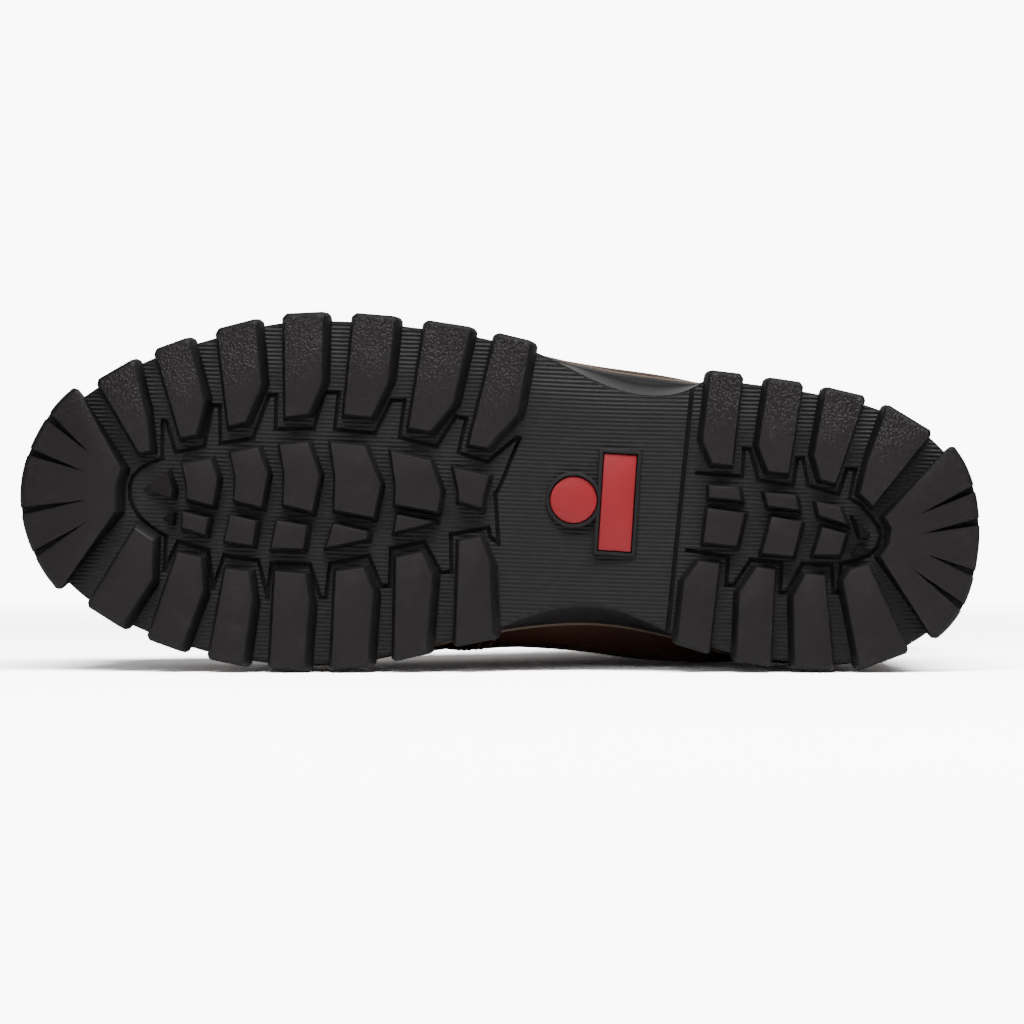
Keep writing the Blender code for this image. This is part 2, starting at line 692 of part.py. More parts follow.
def arch_inlays(parts, cutters):
    """The red bar and disc, with the raised black frames and the seats that hold them."""
    bar_floor = base(BAR_PLACE[0])
    disc_floor = base(disc_along())
    rim = 2 * FRAME_WALL
    slack = 2 * GAP
    bar_frame = (bar_floor - FRAME_HEIGHT, bar_floor + ROOT)
    disc_frame = (disc_floor - FRAME_HEIGHT, disc_floor + ROOT)
    bar_seat = (bar_floor - 2 * FRAME_HEIGHT, bar_floor + GAP)
    disc_seat = (disc_floor - 2 * FRAME_HEIGHT, disc_floor + GAP)
    frames = [
        plate("bar_frame", *BAR_PLACE, (BAR_WIDTH + rim, BAR_LENGTH + rim), *bar_frame, RUBBER, cutters),
        disc("disc_frame", DISC_DIAMETER + rim, *disc_frame, RUBBER, cutters),
    ]
    seats = [
        plate("bar_seat", *BAR_PLACE, (BAR_WIDTH + slack, BAR_LENGTH + slack), *bar_seat, RUBBER, cutters),
        disc("disc_seat", DISC_DIAMETER + slack, *disc_seat, RUBBER, cutters),
    ]
    bar = (bar_floor - INLAY_THICKNESS, bar_floor)
    plate("arch_bar", *BAR_PLACE, (BAR_WIDTH, BAR_LENGTH), *bar, RED_RUBBER, parts)
    disc("arch_disc", DISC_DIAMETER, disc_floor - INLAY_THICKNESS, disc_floor, RED_RUBBER, parts)
    return frames, seats


def outsole(parts, cutters):
    obj = sole_base(parts)
    lugs = []
    lugs += [side_lug(cutters, row, 1, BALL_WIDTH) for row in LATERAL_LUGS]
    lugs += [side_lug(cutters, row, -1, BALL_WIDTH) for row in MEDIAL_LUGS]
    lugs += [side_lug(cutters, row, 1, HEEL_WIDTH) for row in HEEL_LATERAL_LUGS]
    lugs += [side_lug(cutters, row, -1, HEEL_WIDTH) for row in HEEL_MEDIAL_LUGS]
    lugs += [chevron(cutters, row) for row in CHEVRONS]
    lugs += [block_lug(cutters, row, BALL_WIDTH) for row in FOREFOOT_BLOCKS]
    lugs += [block_lug(cutters, row, HEEL_WIDTH) for row in HEEL_BLOCKS]
    lugs.append(end_block(cutters, TOE_BLOCK_INNER, BALL_WIDTH, at_toe=True))
    lugs.append(end_block(cutters, HEEL_BLOCK_INNER, HEEL_WIDTH, at_toe=False))
    frames, seats = arch_inlays(parts, cutters)
    cuts = [sipe_cutter(cutters, row, BALL_WIDTH) for row in TOE_SIPES]
    cuts += [sipe_cutter(cutters, row, HEEL_WIDTH) for row in HEEL_SIPES]
    cuts.append(breast_cutter(cutters))
    boolean(obj, "lugs", "UNION", joined("lugs", lugs + frames, cutters))
    boolean(obj, "cuts", "DIFFERENCE", joined("cuts", cuts + seats, cutters))


def profile(around, side):
    """The five points of the upper's section at a place round the edge, from welt to opening."""
    turns = [row[0] for row in UPPER_SECTIONS]

    def column(index, odd=False):
        values = [row[index] for row in UPPER_SECTIONS]
        before = -turns[1]
        after = 2 - turns[-2]
        flip = -1 if odd else 1
        return spline([before, *turns, after], [flip * values[1], *values, flip * values[-2]], around)

    turn = math.pi * around
    swell = column(1 if side > 0 else 2) * BALL_WIDTH
    foot = edge_point(turn, side, WELT_WIDTH)
    out = edge_point(turn, side, WELT_WIDTH - swell)
    points = []
    for at, level in ((foot, 0.0), (out, SWELL_LEVEL)):
        along = 0.5 - at.x / SOLE_LENGTH
        points.append(Vector((at.x, upper_seat(along) + level * INSTEP_HEIGHT, at.y)))
    for first in (3, 6, 9):
        along = column(first)
        level = column(first + 2)
        half = column(first + 1, True) * local_width(along) / 2
        across = TOE_SWING * ramp(along, *SWING_CHANGE) + side * half
        rise = min(level, 1.0) * INSTEP_HEIGHT + max(level - 1.0, 0.0) * SHAFT_RISE
        points.append(place(along, across, upper_seat(along) + rise))
    return points


def upper_point(around, rise):
    """A point of the upper's outer surface: round from -1 to 1, and rise from the welt at 0 to 1."""
    around = (around + 1) % 2 - 1
    side = 1 if around >= 0 else -1
    points = profile(abs(around), side)
    return Vector([spline(PROFILE_KNOTS, [p[axis] for p in points], rise) for axis in range(3)])


def upper_normal(around, rise):
    low = max(rise - PROBE_STEP, 0.0)
    high = min(rise + PROBE_STEP, 1.0)
    across = upper_point(around + PROBE_STEP, rise) - upper_point(around - PROBE_STEP, rise)
    up = upper_point(around, high) - upper_point(around, low)
    return across.cross(up).normalized()


def raised(around, rise, distance):
    return upper_point(around, rise) + upper_normal(around, rise) * distance


def solidify(obj, thickness, outwards):
    modifier = obj.modifiers.new("wall", "SOLIDIFY")
    modifier.thickness = thickness
    modifier.offset = 1.0 if outwards else -1.0
    modifier.use_quality_normals = True


def grid_object(name, rows, closed_rows, spec, collection):
    """An open sheet through rows of points, whose rows may each be a closed ring."""
    count = len(rows[0])
    points = [p for row in rows for p in row]
    faces = []
    for k in range(len(rows) - 1):
        for i in range(count if closed_rows else count - 1):
            j = (i + 1) % count
            faces.append((k * count + i, k * count + j, (k + 1) * count + j, (k + 1) * count + i))
    return mesh_object(name, points, faces, spec, collection)


def face_sheet(obj, outward_at):
    """Welds a sheet, drops faces with no area and turns it so that its front looks the way it is told."""
    work = bmesh.new()
    work.from_mesh(obj.data)
    bmesh.ops.remove_doubles(work, verts=work.verts, dist=1e-6)
    bmesh.ops.recalc_face_normals(work, faces=work.faces)
    point, direction = outward_at
    nearest = min(work.faces, key=lambda face: (face.calc_center_median() - point).length)
    if nearest.normal.dot(direction) < 0:
        bmesh.ops.reverse_faces(work, faces=work.faces)
    work.to_mesh(obj.data)
    work.free()
    obj.data.shade_smooth()
    obj.data.set_sharp_from_angle(angle=math.radians(CREASE_ANGLE))


def upper(parts):
    places = [k / UPPER_COLUMNS for k in range(-UPPER_COLUMNS, UPPER_COLUMNS)]
    rows = [[upper_point(a, rise) for a in places] for rise in UPPER_RINGS]
    obj = grid_object("upper", rows, True, BROWN_LEATHER, parts)
    face_sheet(obj, (upper_point(0.5, 0.4), upper_normal(0.5, 0.4)))
    solidify(obj, UPPER_WALL, outwards=False)


def places_between(low, high):
    """The upper's own columns between two places round it, with both ends."""
    inner = [k / UPPER_COLUMNS for k in range(-2 * UPPER_COLUMNS, 2 * UPPER_COLUMNS + 1)]
    return [low, *[a for a in inner if low + LEAST_STEP < a < high - LEAST_STEP], high]


def rises_between(low, high):
    return [low, *[r for r in UPPER_RINGS if low < r < high], high]


def overlay(name, low, high, bottom, top, gap, thickness, spec, parts):
    """A layer that lies on the upper between two places round it and two rises."""
    places = places_between(low, high)
    rows = [[raised(a, rise, gap) for a in places] for rise in rises_between(bottom, top)]
    obj = grid_object(name, rows, False, spec, parts)
    middle = places[len(places) // 2]
    face_sheet(obj, (raised(middle, (bottom + top) / 2, gap), upper_normal(middle, (bottom + top) / 2)))
    solidify(obj, thickness, outwards=True)


def overlays(parts):
    reach, bottom, top = TOE_CAP_RANGE
    overlay("toe_cap", -reach, reach, bottom, top, GAP, OVERLAY_THICKNESS, DARK_LEATHER, parts)
    reach, bottom, top = COUNTER_RANGE
    overlay("heel_counter", reach, 2 - reach, bottom, top, GAP, OVERLAY_THICKNESS, DARK_LEATHER, parts)
    reach, bottom, top = EYESTAY_RANGE
    overlay("eyestay", -reach, reach, bottom, top, GAP, OVERLAY_THICKNESS, DARK_LEATHER, parts)
    reach, bottom, top = CUFF_RANGE
    overlay("collar_cuff", reach, 2 - reach, bottom, top, CUFF_GAP, CUFF_THICKNESS, DARK_LEATHER, parts)


def welt(parts):
    def ring(inset, height):
        return sole_ring(lambda a, s: inset, height)

    low = lambda a: sole_top(a) + GAP
    high = lambda a: sole_top(a) + GAP + WELT_THICKNESS
    inner = WELT_WIDTH + UPPER_WALL + GAP
    rings = [ring(0.0, low), ring(0.0, high), ring(inner, high), ring(inner, low)]
    count = len(rings[0])
    points = [p for one in rings for p in one]
    faces = []
    for k in range(4):
        faces += ring_faces(k * count, (k + 1) % 4 * count, count)
    finish_mesh(mesh_object("welt", points, faces, WELT_LEATHER, parts), smooth=True)


def insole(parts):
    inset = WELT_WIDTH + UPPER_WALL + 3 * GAP
    rings = [
        sole_ring(lambda a, s: inset, lambda a: sole_top(a) + GAP),
        sole_ring(lambda a, s: inset, lambda a: sole_top(a) + GAP + INSOLE_THICKNESS),
    ]
    loft("insole", rings, LINING, parts, caps="rungs", smooth=True)


def tongue(parts):
    """A sheet under the throat: the upper's own columns moved inwards and bridged over the foot."""
    depth = -(UPPER_WALL + TONGUE_GAP)
    last = round(EYESTAY_RANGE[0] * UPPER_COLUMNS)
    rows = []
    for k in range(last + 1):
        a = k / UPPER_COLUMNS
        medial = [raised(-a, rise, depth) for rise in TONGUE_RISES]
        lateral = [raised(a, rise, depth) for rise in reversed(TONGUE_RISES)]
        bridge = []
        up = (upper_normal(a, 1.0) + upper_normal(-a, 1.0)).normalized()
        for t in (0.25, 0.5, 0.75):
            crown = TONGUE_CROWN * min(k / TONGUE_END_COLUMNS, 1.0) * math.sin(math.pi * t)
            bridge.append(medial[-1].lerp(lateral[0], t) + up * crown)
        rows.append(medial + bridge + lateral)
    centre = rows[last][5]
    run = (centre - rows[last - 1][5]).normalized()
    for k in range(1, 4):
        share = k / 3
        rows.append([p.lerp(centre, TONGUE_TAPER * share) + run * TONGUE_STAND * share for p in rows[last]])
    obj = grid_object("tongue", rows, False, BROWN_LEATHER, parts)
    middle = rows[last // 2][5]
    face_sheet(obj, (middle, upper_normal(0.0, 0.98)))
    solidify(obj, TONGUE_THICKNESS, outwards=False)


def eyelet_places():
    step = (EYELET_LAST - EYELET_FIRST) / (EYELET_PAIRS - 1)
    return [EYELET_FIRST + step * k for k in range(EYELET_PAIRS)]


def seat_height():
    """Distance from the upper's surface to the underside of what sits on the eyestay."""
    return GAP + OVERLAY_THICKNESS + GAP


def eyelets(parts):
    for k, a in enumerate(eyelet_places()):
        for side, label in ((1, "lateral"), (-1, "medial")):
            bpy.ops.mesh.primitive_torus_add(
                major_radius=EYELET_RADIUS, minor_radius=EYELET_WIRE, major_segments=12, minor_segments=5
            )
            obj = bpy.context.object
            obj.name = f"eyelet_{label}_{k + 1}"
            obj.data.name = obj.name
            for owner in list(obj.users_collection):
                owner.objects.unlink(obj)
            parts.objects.link(obj)
            normal = upper_normal(side * a, EYELET_RISE)
            centre = raised(side * a, EYELET_RISE, seat_height() + EYELET_WIRE + GAP)
            turn = Vector((0.0, 0.0, 1.0)).rotation_difference(normal).to_matrix().to_4x4()
            obj.data.transform(Matrix.Translation(centre) @ turn)
            obj.data.materials.append(material_of(DARK_METAL))
            obj.data.shade_smooth()


def lace_route(first_side):
    """The way of one lace end: from side to side, one pair of eyelets further at each crossing."""
    over_ring = seat_height() + 2 * EYELET_WIRE + LACE_GAP + LACE_DIAMETER / 2
    over_edge = seat_height() + LACE_GAP + LACE_DIAMETER / 2
    places = eyelet_places()
    route = [raised(first_side * places[0], EYELET_RISE, over_ring)]
    for k in range(len(places) - 1):
        side = first_side * (1 if k % 2 == 0 else -1)
        a, b = places[k], places[k + 1]
        start_edge = raised(side * (a + (b - a) * LACE_TURN), LACE_EDGE_RISE, over_edge)
        end_edge = raised(-side * (b - (b - a) * LACE_TURN), LACE_EDGE_RISE, over_edge)
        route.append(start_edge)
        route.append((start_edge + end_edge) / 2 + upper_normal(0.0, 1.0) * TONGUE_CROWN)
        route.append(end_edge)
        route.append(raised(-side * b, EYELET_RISE, over_ring))
    return route


def tube(name, route, diameter, collection):
    """A round cord through points, as a closed mesh."""
    curve = bpy.data.curves.new(name, "CURVE")
    curve.dimensions = "3D"
    curve.bevel_depth = diameter / 2
    curve.bevel_resolution = 0
    curve.use_fill_caps = True
    line = curve.splines.new("POLY")
    line.points.add(len(route) - 1)
    for point, at in zip(line.points, route):
        point.co = (*at, 1.0)
    guide = bpy.data.objects.new(name, curve)
    collection.objects.link(guide)
    graph = bpy.context.evaluated_depsgraph_get()
    mesh = bpy.data.meshes.new_from_object(guide.evaluated_get(graph))
    here = guide.matrix_world.copy()
    bpy.data.objects.remove(guide, do_unlink=True)
    obj = bpy.data.objects.new(name, mesh)
    obj.matrix_world = here
    collection.objects.link(obj)
    return finish_mesh(obj)


def lace(parts, cutters):
    lateral = lace_route(1)
    medial = lace_route(-1)
    places = eyelet_places()
    over_edge = seat_height() + LACE_GAP + LACE_DIAMETER / 2
    bar = [
        lateral[0],
        raised(places[0], LACE_EDGE_RISE, over_edge),
        raised(-places[0], LACE_EDGE_RISE, over_edge),
        medial[0],
    ]
    obj = tube("lace", bar[::-1] + lateral[1:], LACE_DIAMETER, parts)
    obj.data.materials.append(material_of(LACE_FABRIC))
    other = tube("lace_second_end", medial, LACE_DIAMETER, cutters)
    other.display_type = "WIRE"
    other.hide_render = True
    boolean(obj, "crossings", "UNION", other)
    obj.data.shade_smooth()


def pull_loop(parts):
    """A strap that rises from the back of the cuff and comes down inside the collar."""
    outside = CUFF_GAP + CUFF_THICKNESS + LOOP_GAP + LOOP_THICKNESS / 2
    inside = -(UPPER_WALL + LOOP_GAP + LOOP_THICKNESS / 2)
    over = raised(1.0, 1.0, outside)
    under = raised(1.0, 1.0, inside)
    up = (raised(1.0, 1.0, 0.0) - raised(1.0, 1.0 - PROBE_STEP, 0.0)).normalized()
    half = (over - under) / 2
    centre = (over + under) / 2 + up * (LOOP_HEIGHT - half.length)
    route = [raised(1.0, rise, outside) for rise in UPPER_RINGS if CUFF_RANGE[1] < rise]
    for k in range(LOOP_ARC_STEPS + 1):
        angle = math.pi * k / LOOP_ARC_STEPS
        route.append(centre + half * math.cos(angle) + up * half.length * math.sin(angle))
    route += [raised(1.0, rise, inside) for rise in reversed(UPPER_RINGS) if LOOP_INSIDE_RISE < rise]
    rings = []
    for k, at in enumerate(route):
        run = (route[min(k + 1, len(route) - 1)] - route[max(k - 1, 0)]).normalized()
        wide = Vector((0.0, 0.0, LOOP_WIDTH / 2))
        thick = run.cross(Vector((0.0, 0.0, 1.0))).normalized() * LOOP_THICKNESS / 2
        rings.append([at + wide + thick, at + wide - thick, at - wide - thick, at - wide + thick])
    loft("pull_loop", rings, DARK_LEATHER, parts, smooth=True)


def evaluated_points(objects):
    graph = bpy.context.evaluated_depsgraph_get()
    found = []
    for obj in objects:
        mesh = obj.evaluated_get(graph).to_mesh()
        found += [tuple(v.co) for v in mesh.vertices]
        obj.evaluated_get(graph).to_mesh_clear()
    return np.array(found)


def resting_turn(points):
    """The rotation that lays the boot on the plane under its ball, its heel and its shaft."""
    low = points[:, 1] < 0.5 * FOREFOOT_THICKNESS
    ball = low & (points[:, 0] < 0)
    heel = low & (points[:, 0] > 0)
    shaft = points[:, 1] > FOREFOOT_THICKNESS + HEEL_LIFT + INSTEP_HEIGHT
    slope = np.zeros(3)
    for _ in range(12):
        height = points[:, 2] - points[:, :2] @ slope[:2]
        touching = []
        for group in (ball, heel, shaft):
            index = np.flatnonzero(group)
            touching.append(points[index[np.argmin(height[index])]])
        touching = np.array(touching)
        slope = np.linalg.solve(np.column_stack([touching[:, :2], np.ones(3)]), touching[:, 2])
    normal = Vector((-slope[0], -slope[1], 1.0)).normalized()
    return normal.rotation_difference(Vector((0.0, 0.0, 1.0))).to_matrix()


def lay_down(parts, cutters):
    """Parents every piece to one empty that lays the boot on the floor, centred over the origin."""
    pieces = list(parts.objects)
    points = evaluated_points(pieces)
    turn = resting_turn(points)
    laid = points @ np.array(turn).T
    low = laid.min(axis=0)
    high = laid.max(axis=0)
    holder = bpy.data.objects.new("boot_holder", None)
    parts.objects.link(holder)
    centre = Vector(((low[0] + high[0]) / 2, (low[1] + high[1]) / 2, low[2]))
    holder.matrix_world = Matrix.Translation(-centre) @ turn.to_4x4()
    for obj in pieces + list(cutters.objects):
        obj.parent = holder


def main():
    clear_scene()
    parts = new_collection("hiking_boot")
    cutters = new_collection("cutters", hidden=True)
    outsole(parts, cutters)
    welt(parts)
    upper(parts)
    insole(parts)
    tongue(parts)
    overlays(parts)
    eyelets(parts)
    lace(parts, cutters)
    pull_loop(parts)
    lay_down(parts, cutters)


main()
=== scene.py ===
"""Looks of a left hiking boot lying on its side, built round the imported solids.

Shapes are worked out in the boot's own frame and then laid down like the solids. In that frame +X runs
from toe to heel, +Y from the tread up through the shaft and +Z to the lateral side. Along is a share of
the sole's length from the heel, around runs from 0 at the toe to 1 at the heel, positive on the lateral
side, and rise runs up the upper from 0 at the welt to 1 at the opening.
"""

import math

import bpy
import numpy as np
from mathutils import Matrix, Vector


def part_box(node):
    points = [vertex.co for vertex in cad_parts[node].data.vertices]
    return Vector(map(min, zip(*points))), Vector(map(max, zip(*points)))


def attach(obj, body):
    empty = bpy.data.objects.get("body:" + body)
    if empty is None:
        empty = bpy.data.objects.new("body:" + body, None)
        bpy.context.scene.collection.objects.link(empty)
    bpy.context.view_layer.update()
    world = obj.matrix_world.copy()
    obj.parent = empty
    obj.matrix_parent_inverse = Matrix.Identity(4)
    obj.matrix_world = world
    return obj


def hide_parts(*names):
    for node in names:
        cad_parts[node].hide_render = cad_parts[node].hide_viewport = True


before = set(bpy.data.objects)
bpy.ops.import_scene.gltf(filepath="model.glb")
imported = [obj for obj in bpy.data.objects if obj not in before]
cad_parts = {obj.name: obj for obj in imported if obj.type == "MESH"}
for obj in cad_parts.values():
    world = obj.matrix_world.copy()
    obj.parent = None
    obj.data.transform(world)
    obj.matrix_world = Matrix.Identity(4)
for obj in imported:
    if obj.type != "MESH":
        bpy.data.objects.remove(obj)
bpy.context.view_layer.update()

# Sizes in metres, as in the solids
SOLE_LENGTH = 0.305
BALL_WIDTH = 0.1093
HEEL_WIDTH = 0.0855
FOREFOOT_THICKNESS = 0.0185
HEEL_LIFT = 0.0135
TOE_SPRING = 0.0125
HEEL_BEVEL = 0.0025
LUG_HEIGHT = 0.0055
LUG_OVERHANG = 0.0026
LUG_SIDE_REACH = 0.0125
LUG_SHOULDER = 0.0014
LUG_CORNER = 0.0011
# The share of its draft that a lug's wall has reached at the shoulder, and at the floor by an edge
SHOULDER_DRAFT = 0.35
FLOOR_DRAFT = 0.9
# A face counts as level from this share of its normal on, on the lugs and on the floor between them
LEVEL_FACE = 0.80
LEVEL_FLOOR = 0.5
# How far the lugs' walls lean out, edge by edge: side lugs from the arch edge on, then the centre lugs
FOREFOOT_DRAFTS = (0.0030, 0.0023, 0.0012, 0.0012)
FACET_DRAFTS = (0.0030, 0.0023, 0.0032, 0.0012)
HEEL_DRAFTS = (0.0019, 0.0016, 0.0012, 0.0009)
CHEVRON_DRAFTS = (0.0016, 0.0019, 0.0019, 0.0015, 0.0010, 0.0010)
BLOCK_DRAFTS = (0.0009, 0.0019, 0.0013, 0.0010)
# The blocks at the toe and the heel: how far they stand out beyond the lugs, and their inner draft
TOE_BLOCK = (0.0014, 0.0030)
HEEL_BLOCK = (0.0005, 0.0016)
ARCH_RISE = 0.0045
ARCH_BLUNTNESS = 1.5
ARCH_UNDERCUT = {1: 0.0078, -1: 0.0056}
UNDERCUT_BLUNTNESS = 1.3
BASE_BEVEL = 0.0009
LIP_HEIGHT = 0.0042
LIP_STEP = 0.0009
LIP_FADE = 0.4
SIPE_WIDTH = 0.0027
SIPE_DEPTH = 0.0040
BREAST_GROOVE_WIDTH = 0.0016
BREAST_GROOVE_DEPTH = 0.0014
BAR_SIZE = (0.0105, 0.031)
DISC_DIAMETER = 0.0150
INLAY_SPACING = 0.0013
INLAY_THICKNESS = 0.0014
FRAME_WALL = 0.0015
FRAME_HEIGHT = 0.0019
WELT_THICKNESS = 0.0030
WELT_WIDTH = 0.0052
WELT_STAND = 0.0006
WELT_ROUNDING = 0.0007
CHANNEL_HALF = 0.0007
CHANNEL_DEPTH = 0.0004
UPPER_WALL = 0.0022
INSTEP_HEIGHT = 0.080
SHAFT_RISE = 0.060
TOE_SWING = 0.0045
SWELL_LEVEL = 0.15
OVERLAY_THICKNESS = 0.0015
OVERLAY_FILL = 0.96
RIM_DROP = 0.4
CUFF_THICKNESS = 0.0034
CUFF_PADDING = 0.8 * CUFF_THICKNESS
CUFF_SWELL = 0.0012
TONGUE_THICKNESS = 0.0042
TONGUE_CROWN = 0.0030
CROWN_GROWTH = 6.0
TONGUE_RISES = (0.70, 0.80, 0.90, 1.0)
TONGUE_STAND = 0.014
TONGUE_TAPER = 0.35
EYELET_PAIRS = 6
EYELET_RADIUS = 0.0034
EYELET_WIRE = 0.0010
LACE_DIAMETER = 0.0036
LACE_DEPTH = 0.002
LACE_SINK = 0.001
# Over the tongue: the first bar's lift, and those of upper and lower crossings in lace diameters
LACE_FIRST_LIFT = 0.0005
LACE_LIFTS = (0.5, -0.3)
LACE_SIDES = 12
LACE_STEP = 0.0012
LOOP_WIDTH = 0.013
LOOP_THICKNESS = 0.0018
LOOP_HEIGHT = 0.017
LOOP_FOOT = 0.90
LOOP_EDGE = 0.0004
GAP = 0.0003
CUFF_GAP = 0.0008
TONGUE_GAP = 0.0014
LOOP_GAP = 0.0010
LACE_GAP = 0.0016
ROOT = 0.0015
EDGE_ROUNDING = 0.00035
SEAT = GAP + OVERLAY_THICKNESS + GAP

# Stitches: how far the thread stands out, pitch, then length and thickness of one stitch
THREAD_STAND = 0.0001
STITCH_PITCH = 0.0028
UPPER_STITCH = (0.0021, 0.00065)
WELT_STITCH_PITCH = 0.0042
WELT_STITCH = (0.0034, 0.0009)
STITCH_FLATNESS = 0.8
# Stitch rows: how far inside the edges of their piece they lie, in rise or in around
CAP_ROWS = (0.022, 0.034)
CAP_ENDS = 0.02
COUNTER_ROWS = ((0.022, 0.010), (0.036, 0.017))
COUNTER_ENDS = 0.012
COUNTER_RISE = (0.01, 0.03)
EYESTAY_ROWS = (0.03, 0.055)
EYESTAY_TOP_ROW = 0.03
EYESTAY_ENDS = 0.01
QUARTER_ROWS = (0.012, 0.020)
QUARTER_RISE = (0.05, 0.765)

# How finely the larger meshes are divided
SOLE_STATIONS = 200
FLOOR_STEPS = 20
RIM_STEPS = 20
DISC_SIDES = 64
GROOVE_STEP = 0.012
LOOP_PROBES = 1440
WELT_STATIONS = 420
UPPER_GRID = (380, 64)
OVERLAY_COLUMNS = 96
OVERLAY_ROWS = 60
TONGUE_STATIONS = 60
TONGUE_COLUMNS = 24

# Where the sole's widths and heights change, as shares of its length
WIDTH_CHANGE = (0.28, 0.50)
SPRING_START = 0.70
BEVEL_END = 0.08
LIFT_CHANGE = (0.25, 0.62)
ARCH_SPAN = (0.30, 0.50)
UNDERCUT_SPAN = {1: (0.288, 0.474, 0.62), -1: (0.306, 0.512, 0.95)}
SWING_CHANGE = (0.15, 0.65)
TOE_TIP = (0.991, 0.027)
HEEL_TIP = (0.008, -0.015)
SOLE_MIDDLE = (TOE_TIP[0] + HEEL_TIP[0]) / 2
SOLE_HALF = (TOE_TIP[0] - HEEL_TIP[0]) / 2
TOE_TURN = 0.0
HEEL_TURN = math.pi

# The sole's edge: along, then lateral and medial reach as shares of the local width
OUTLINE = (
    (0.978, 0.174, 0.124),
    (0.955, 0.274, 0.220),
    (0.920, 0.350, 0.297),
    (0.870, 0.425, 0.364),
    (0.800, 0.494, 0.421),
    (0.730, 0.543, 0.448),
    (0.660, 0.552, 0.444),
    (0.590, 0.540, 0.403),
    (0.530, 0.520, 0.357),
    (0.460, 0.491, 0.323),
    (0.390, 0.502, 0.340),
    (0.320, 0.534, 0.411),
    (0.250, 0.526, 0.484),
    (0.180, 0.498, 0.506),
    (0.110, 0.447, 0.494),
    (0.050, 0.339, 0.386),
    (0.020, 0.205, 0.251),
)

# Side lugs: far and near end of the outer edge, knee, near inner corner, far inner corner
LATERAL_LUGS = (
    (0.926, 0.889, 0.870, 0.235, 0.866, 0.155, 0.877, 0.148),
    (0.865, 0.832, 0.811, 0.303, 0.818, 0.205, 0.834, 0.196),
    (0.800, 0.761, 0.752, 0.352, 0.767, 0.246, 0.784, 0.234),
    (0.730, 0.690, 0.689, 0.365, 0.702, 0.275, 0.725, 0.265),
    (0.657, 0.615, 0.620, 0.375, 0.636, 0.273, 0.664, 0.278),
    (0.582, 0.536, 0.552, 0.317, 0.574, 0.237, 0.596, 0.246),
    (0.508, 0.473, 0.484, 0.297, 0.515, 0.194, 0.533, 0.203),
)
MEDIAL_LUGS = (
    (0.927, 0.891, 0.859, -0.216, 0.859, -0.108, 0.879, -0.073),
    (0.861, 0.827, 0.805, -0.242, 0.808, -0.152, 0.833, -0.140),
    (0.796, 0.761, 0.753, -0.259, 0.758, -0.189, 0.782, -0.183),
    (0.732, 0.697, 0.694, -0.258, 0.699, -0.191, 0.730, -0.186),
    (0.668, 0.631, 0.628, -0.233, 0.639, -0.167, 0.667, -0.181),
    (0.603, 0.571, 0.567, -0.180, 0.579, -0.117, 0.605, -0.135),
    (0.540, 0.502, 0.508, -0.134, 0.519, -0.067, 0.540, -0.080),
)
HEEL_LATERAL_LUGS = (
    (0.251, 0.284, 0.290, 0.298, 0.279, 0.220, 0.259, 0.214),
    (0.188, 0.223, 0.232, 0.288, 0.221, 0.197, 0.200, 0.191),
    (0.122, 0.163, 0.174, 0.261, 0.166, 0.174, 0.151, 0.159),
    (0.051, 0.098, 0.118, 0.242, 0.125, 0.125, 0.111, 0.081),
)
HEEL_MEDIAL_LUGS = (
    (0.277, 0.310, 0.305, -0.221, 0.290, -0.148, 0.269, -0.158),
    (0.213, 0.248, 0.247, -0.255, 0.230, -0.162, 0.211, -0.173),
    (0.147, 0.187, 0.191, -0.266, 0.179, -0.182, 0.159, -0.188),
    (0.069, 0.119, 0.140, -0.200, 0.132, -0.160, 0.114, -0.141),
)

# Chevrons: front, back, top at front and back, point along and across, foot along and across, notch
CHEVRONS = (
    (0.831, 0.802, 0.117, 0.134, 0.794, 0.079, 0.798, 0.002, 0.048),
    (0.781, 0.753, 0.153, 0.171, 0.742, 0.097, 0.747, 0.001, 0.087),
    (0.730, 0.701, 0.180, 0.190, 0.688, 0.100, 0.694, -0.007, 0.099),
    (0.677, 0.642, 0.192, 0.186, 0.624, 0.077, 0.630, -0.018, 0.092),
    (0.614, 0.573, 0.173, 0.150, 0.561, 0.064, 0.564, 0.004, 0.077),
    (0.548, 0.512, 0.130, 0.111, 0.517, 0.053, 0.518, 0.020, 0.062),
)
CHEVRON_NOTCH = 0.006
CHEVRON_FOOT_RISE = 0.018

# Four-sided centre lugs: front, back, top at front and back, lower back and lower front corner
FOREFOOT_BLOCKS = (
    (0.829, 0.802, -0.021, -0.037, 0.805, -0.084, 0.829, -0.066),
    (0.779, 0.752, -0.027, -0.042, 0.755, -0.111, 0.784, -0.101),
    (0.730, 0.699, -0.038, -0.050, 0.702, -0.116, 0.735, -0.117),
    (0.671, 0.636, -0.042, -0.062, 0.636, -0.082, 0.678, -0.110),
    (0.605, 0.571, -0.010, -0.026, 0.578, -0.036, 0.608, -0.059),
)
HEEL_BLOCKS = (
    (0.282, 0.252, 0.134, 0.132, 0.249, 0.086, 0.282, 0.092),
    (0.224, 0.192, 0.115, 0.108, 0.189, 0.058, 0.220, 0.068),
    (0.170, 0.146, 0.087, 0.071, 0.139, 0.012, 0.167, 0.040),
    (0.283, 0.245, 0.050, 0.035, 0.252, -0.085, 0.286, -0.076),
    (0.216, 0.185, 0.026, 0.010, 0.193, -0.115, 0.225, -0.108),
    (0.163, 0.139, -0.007, -0.028, 0.145, -0.104, 0.171, -0.107),
)
TOE_BLOCK_INNER = ((0.940, 0.321), (0.897, 0.101), (0.902, 0.055), (0.901, -0.026), (0.949, -0.250))
HEEL_BLOCK_INNER = (
    (0.037, 0.310),
    (0.098, 0.040),
    (0.091, 0.000),
    (0.093, -0.060),
    (0.102, -0.106),
    (0.049, -0.400),
)
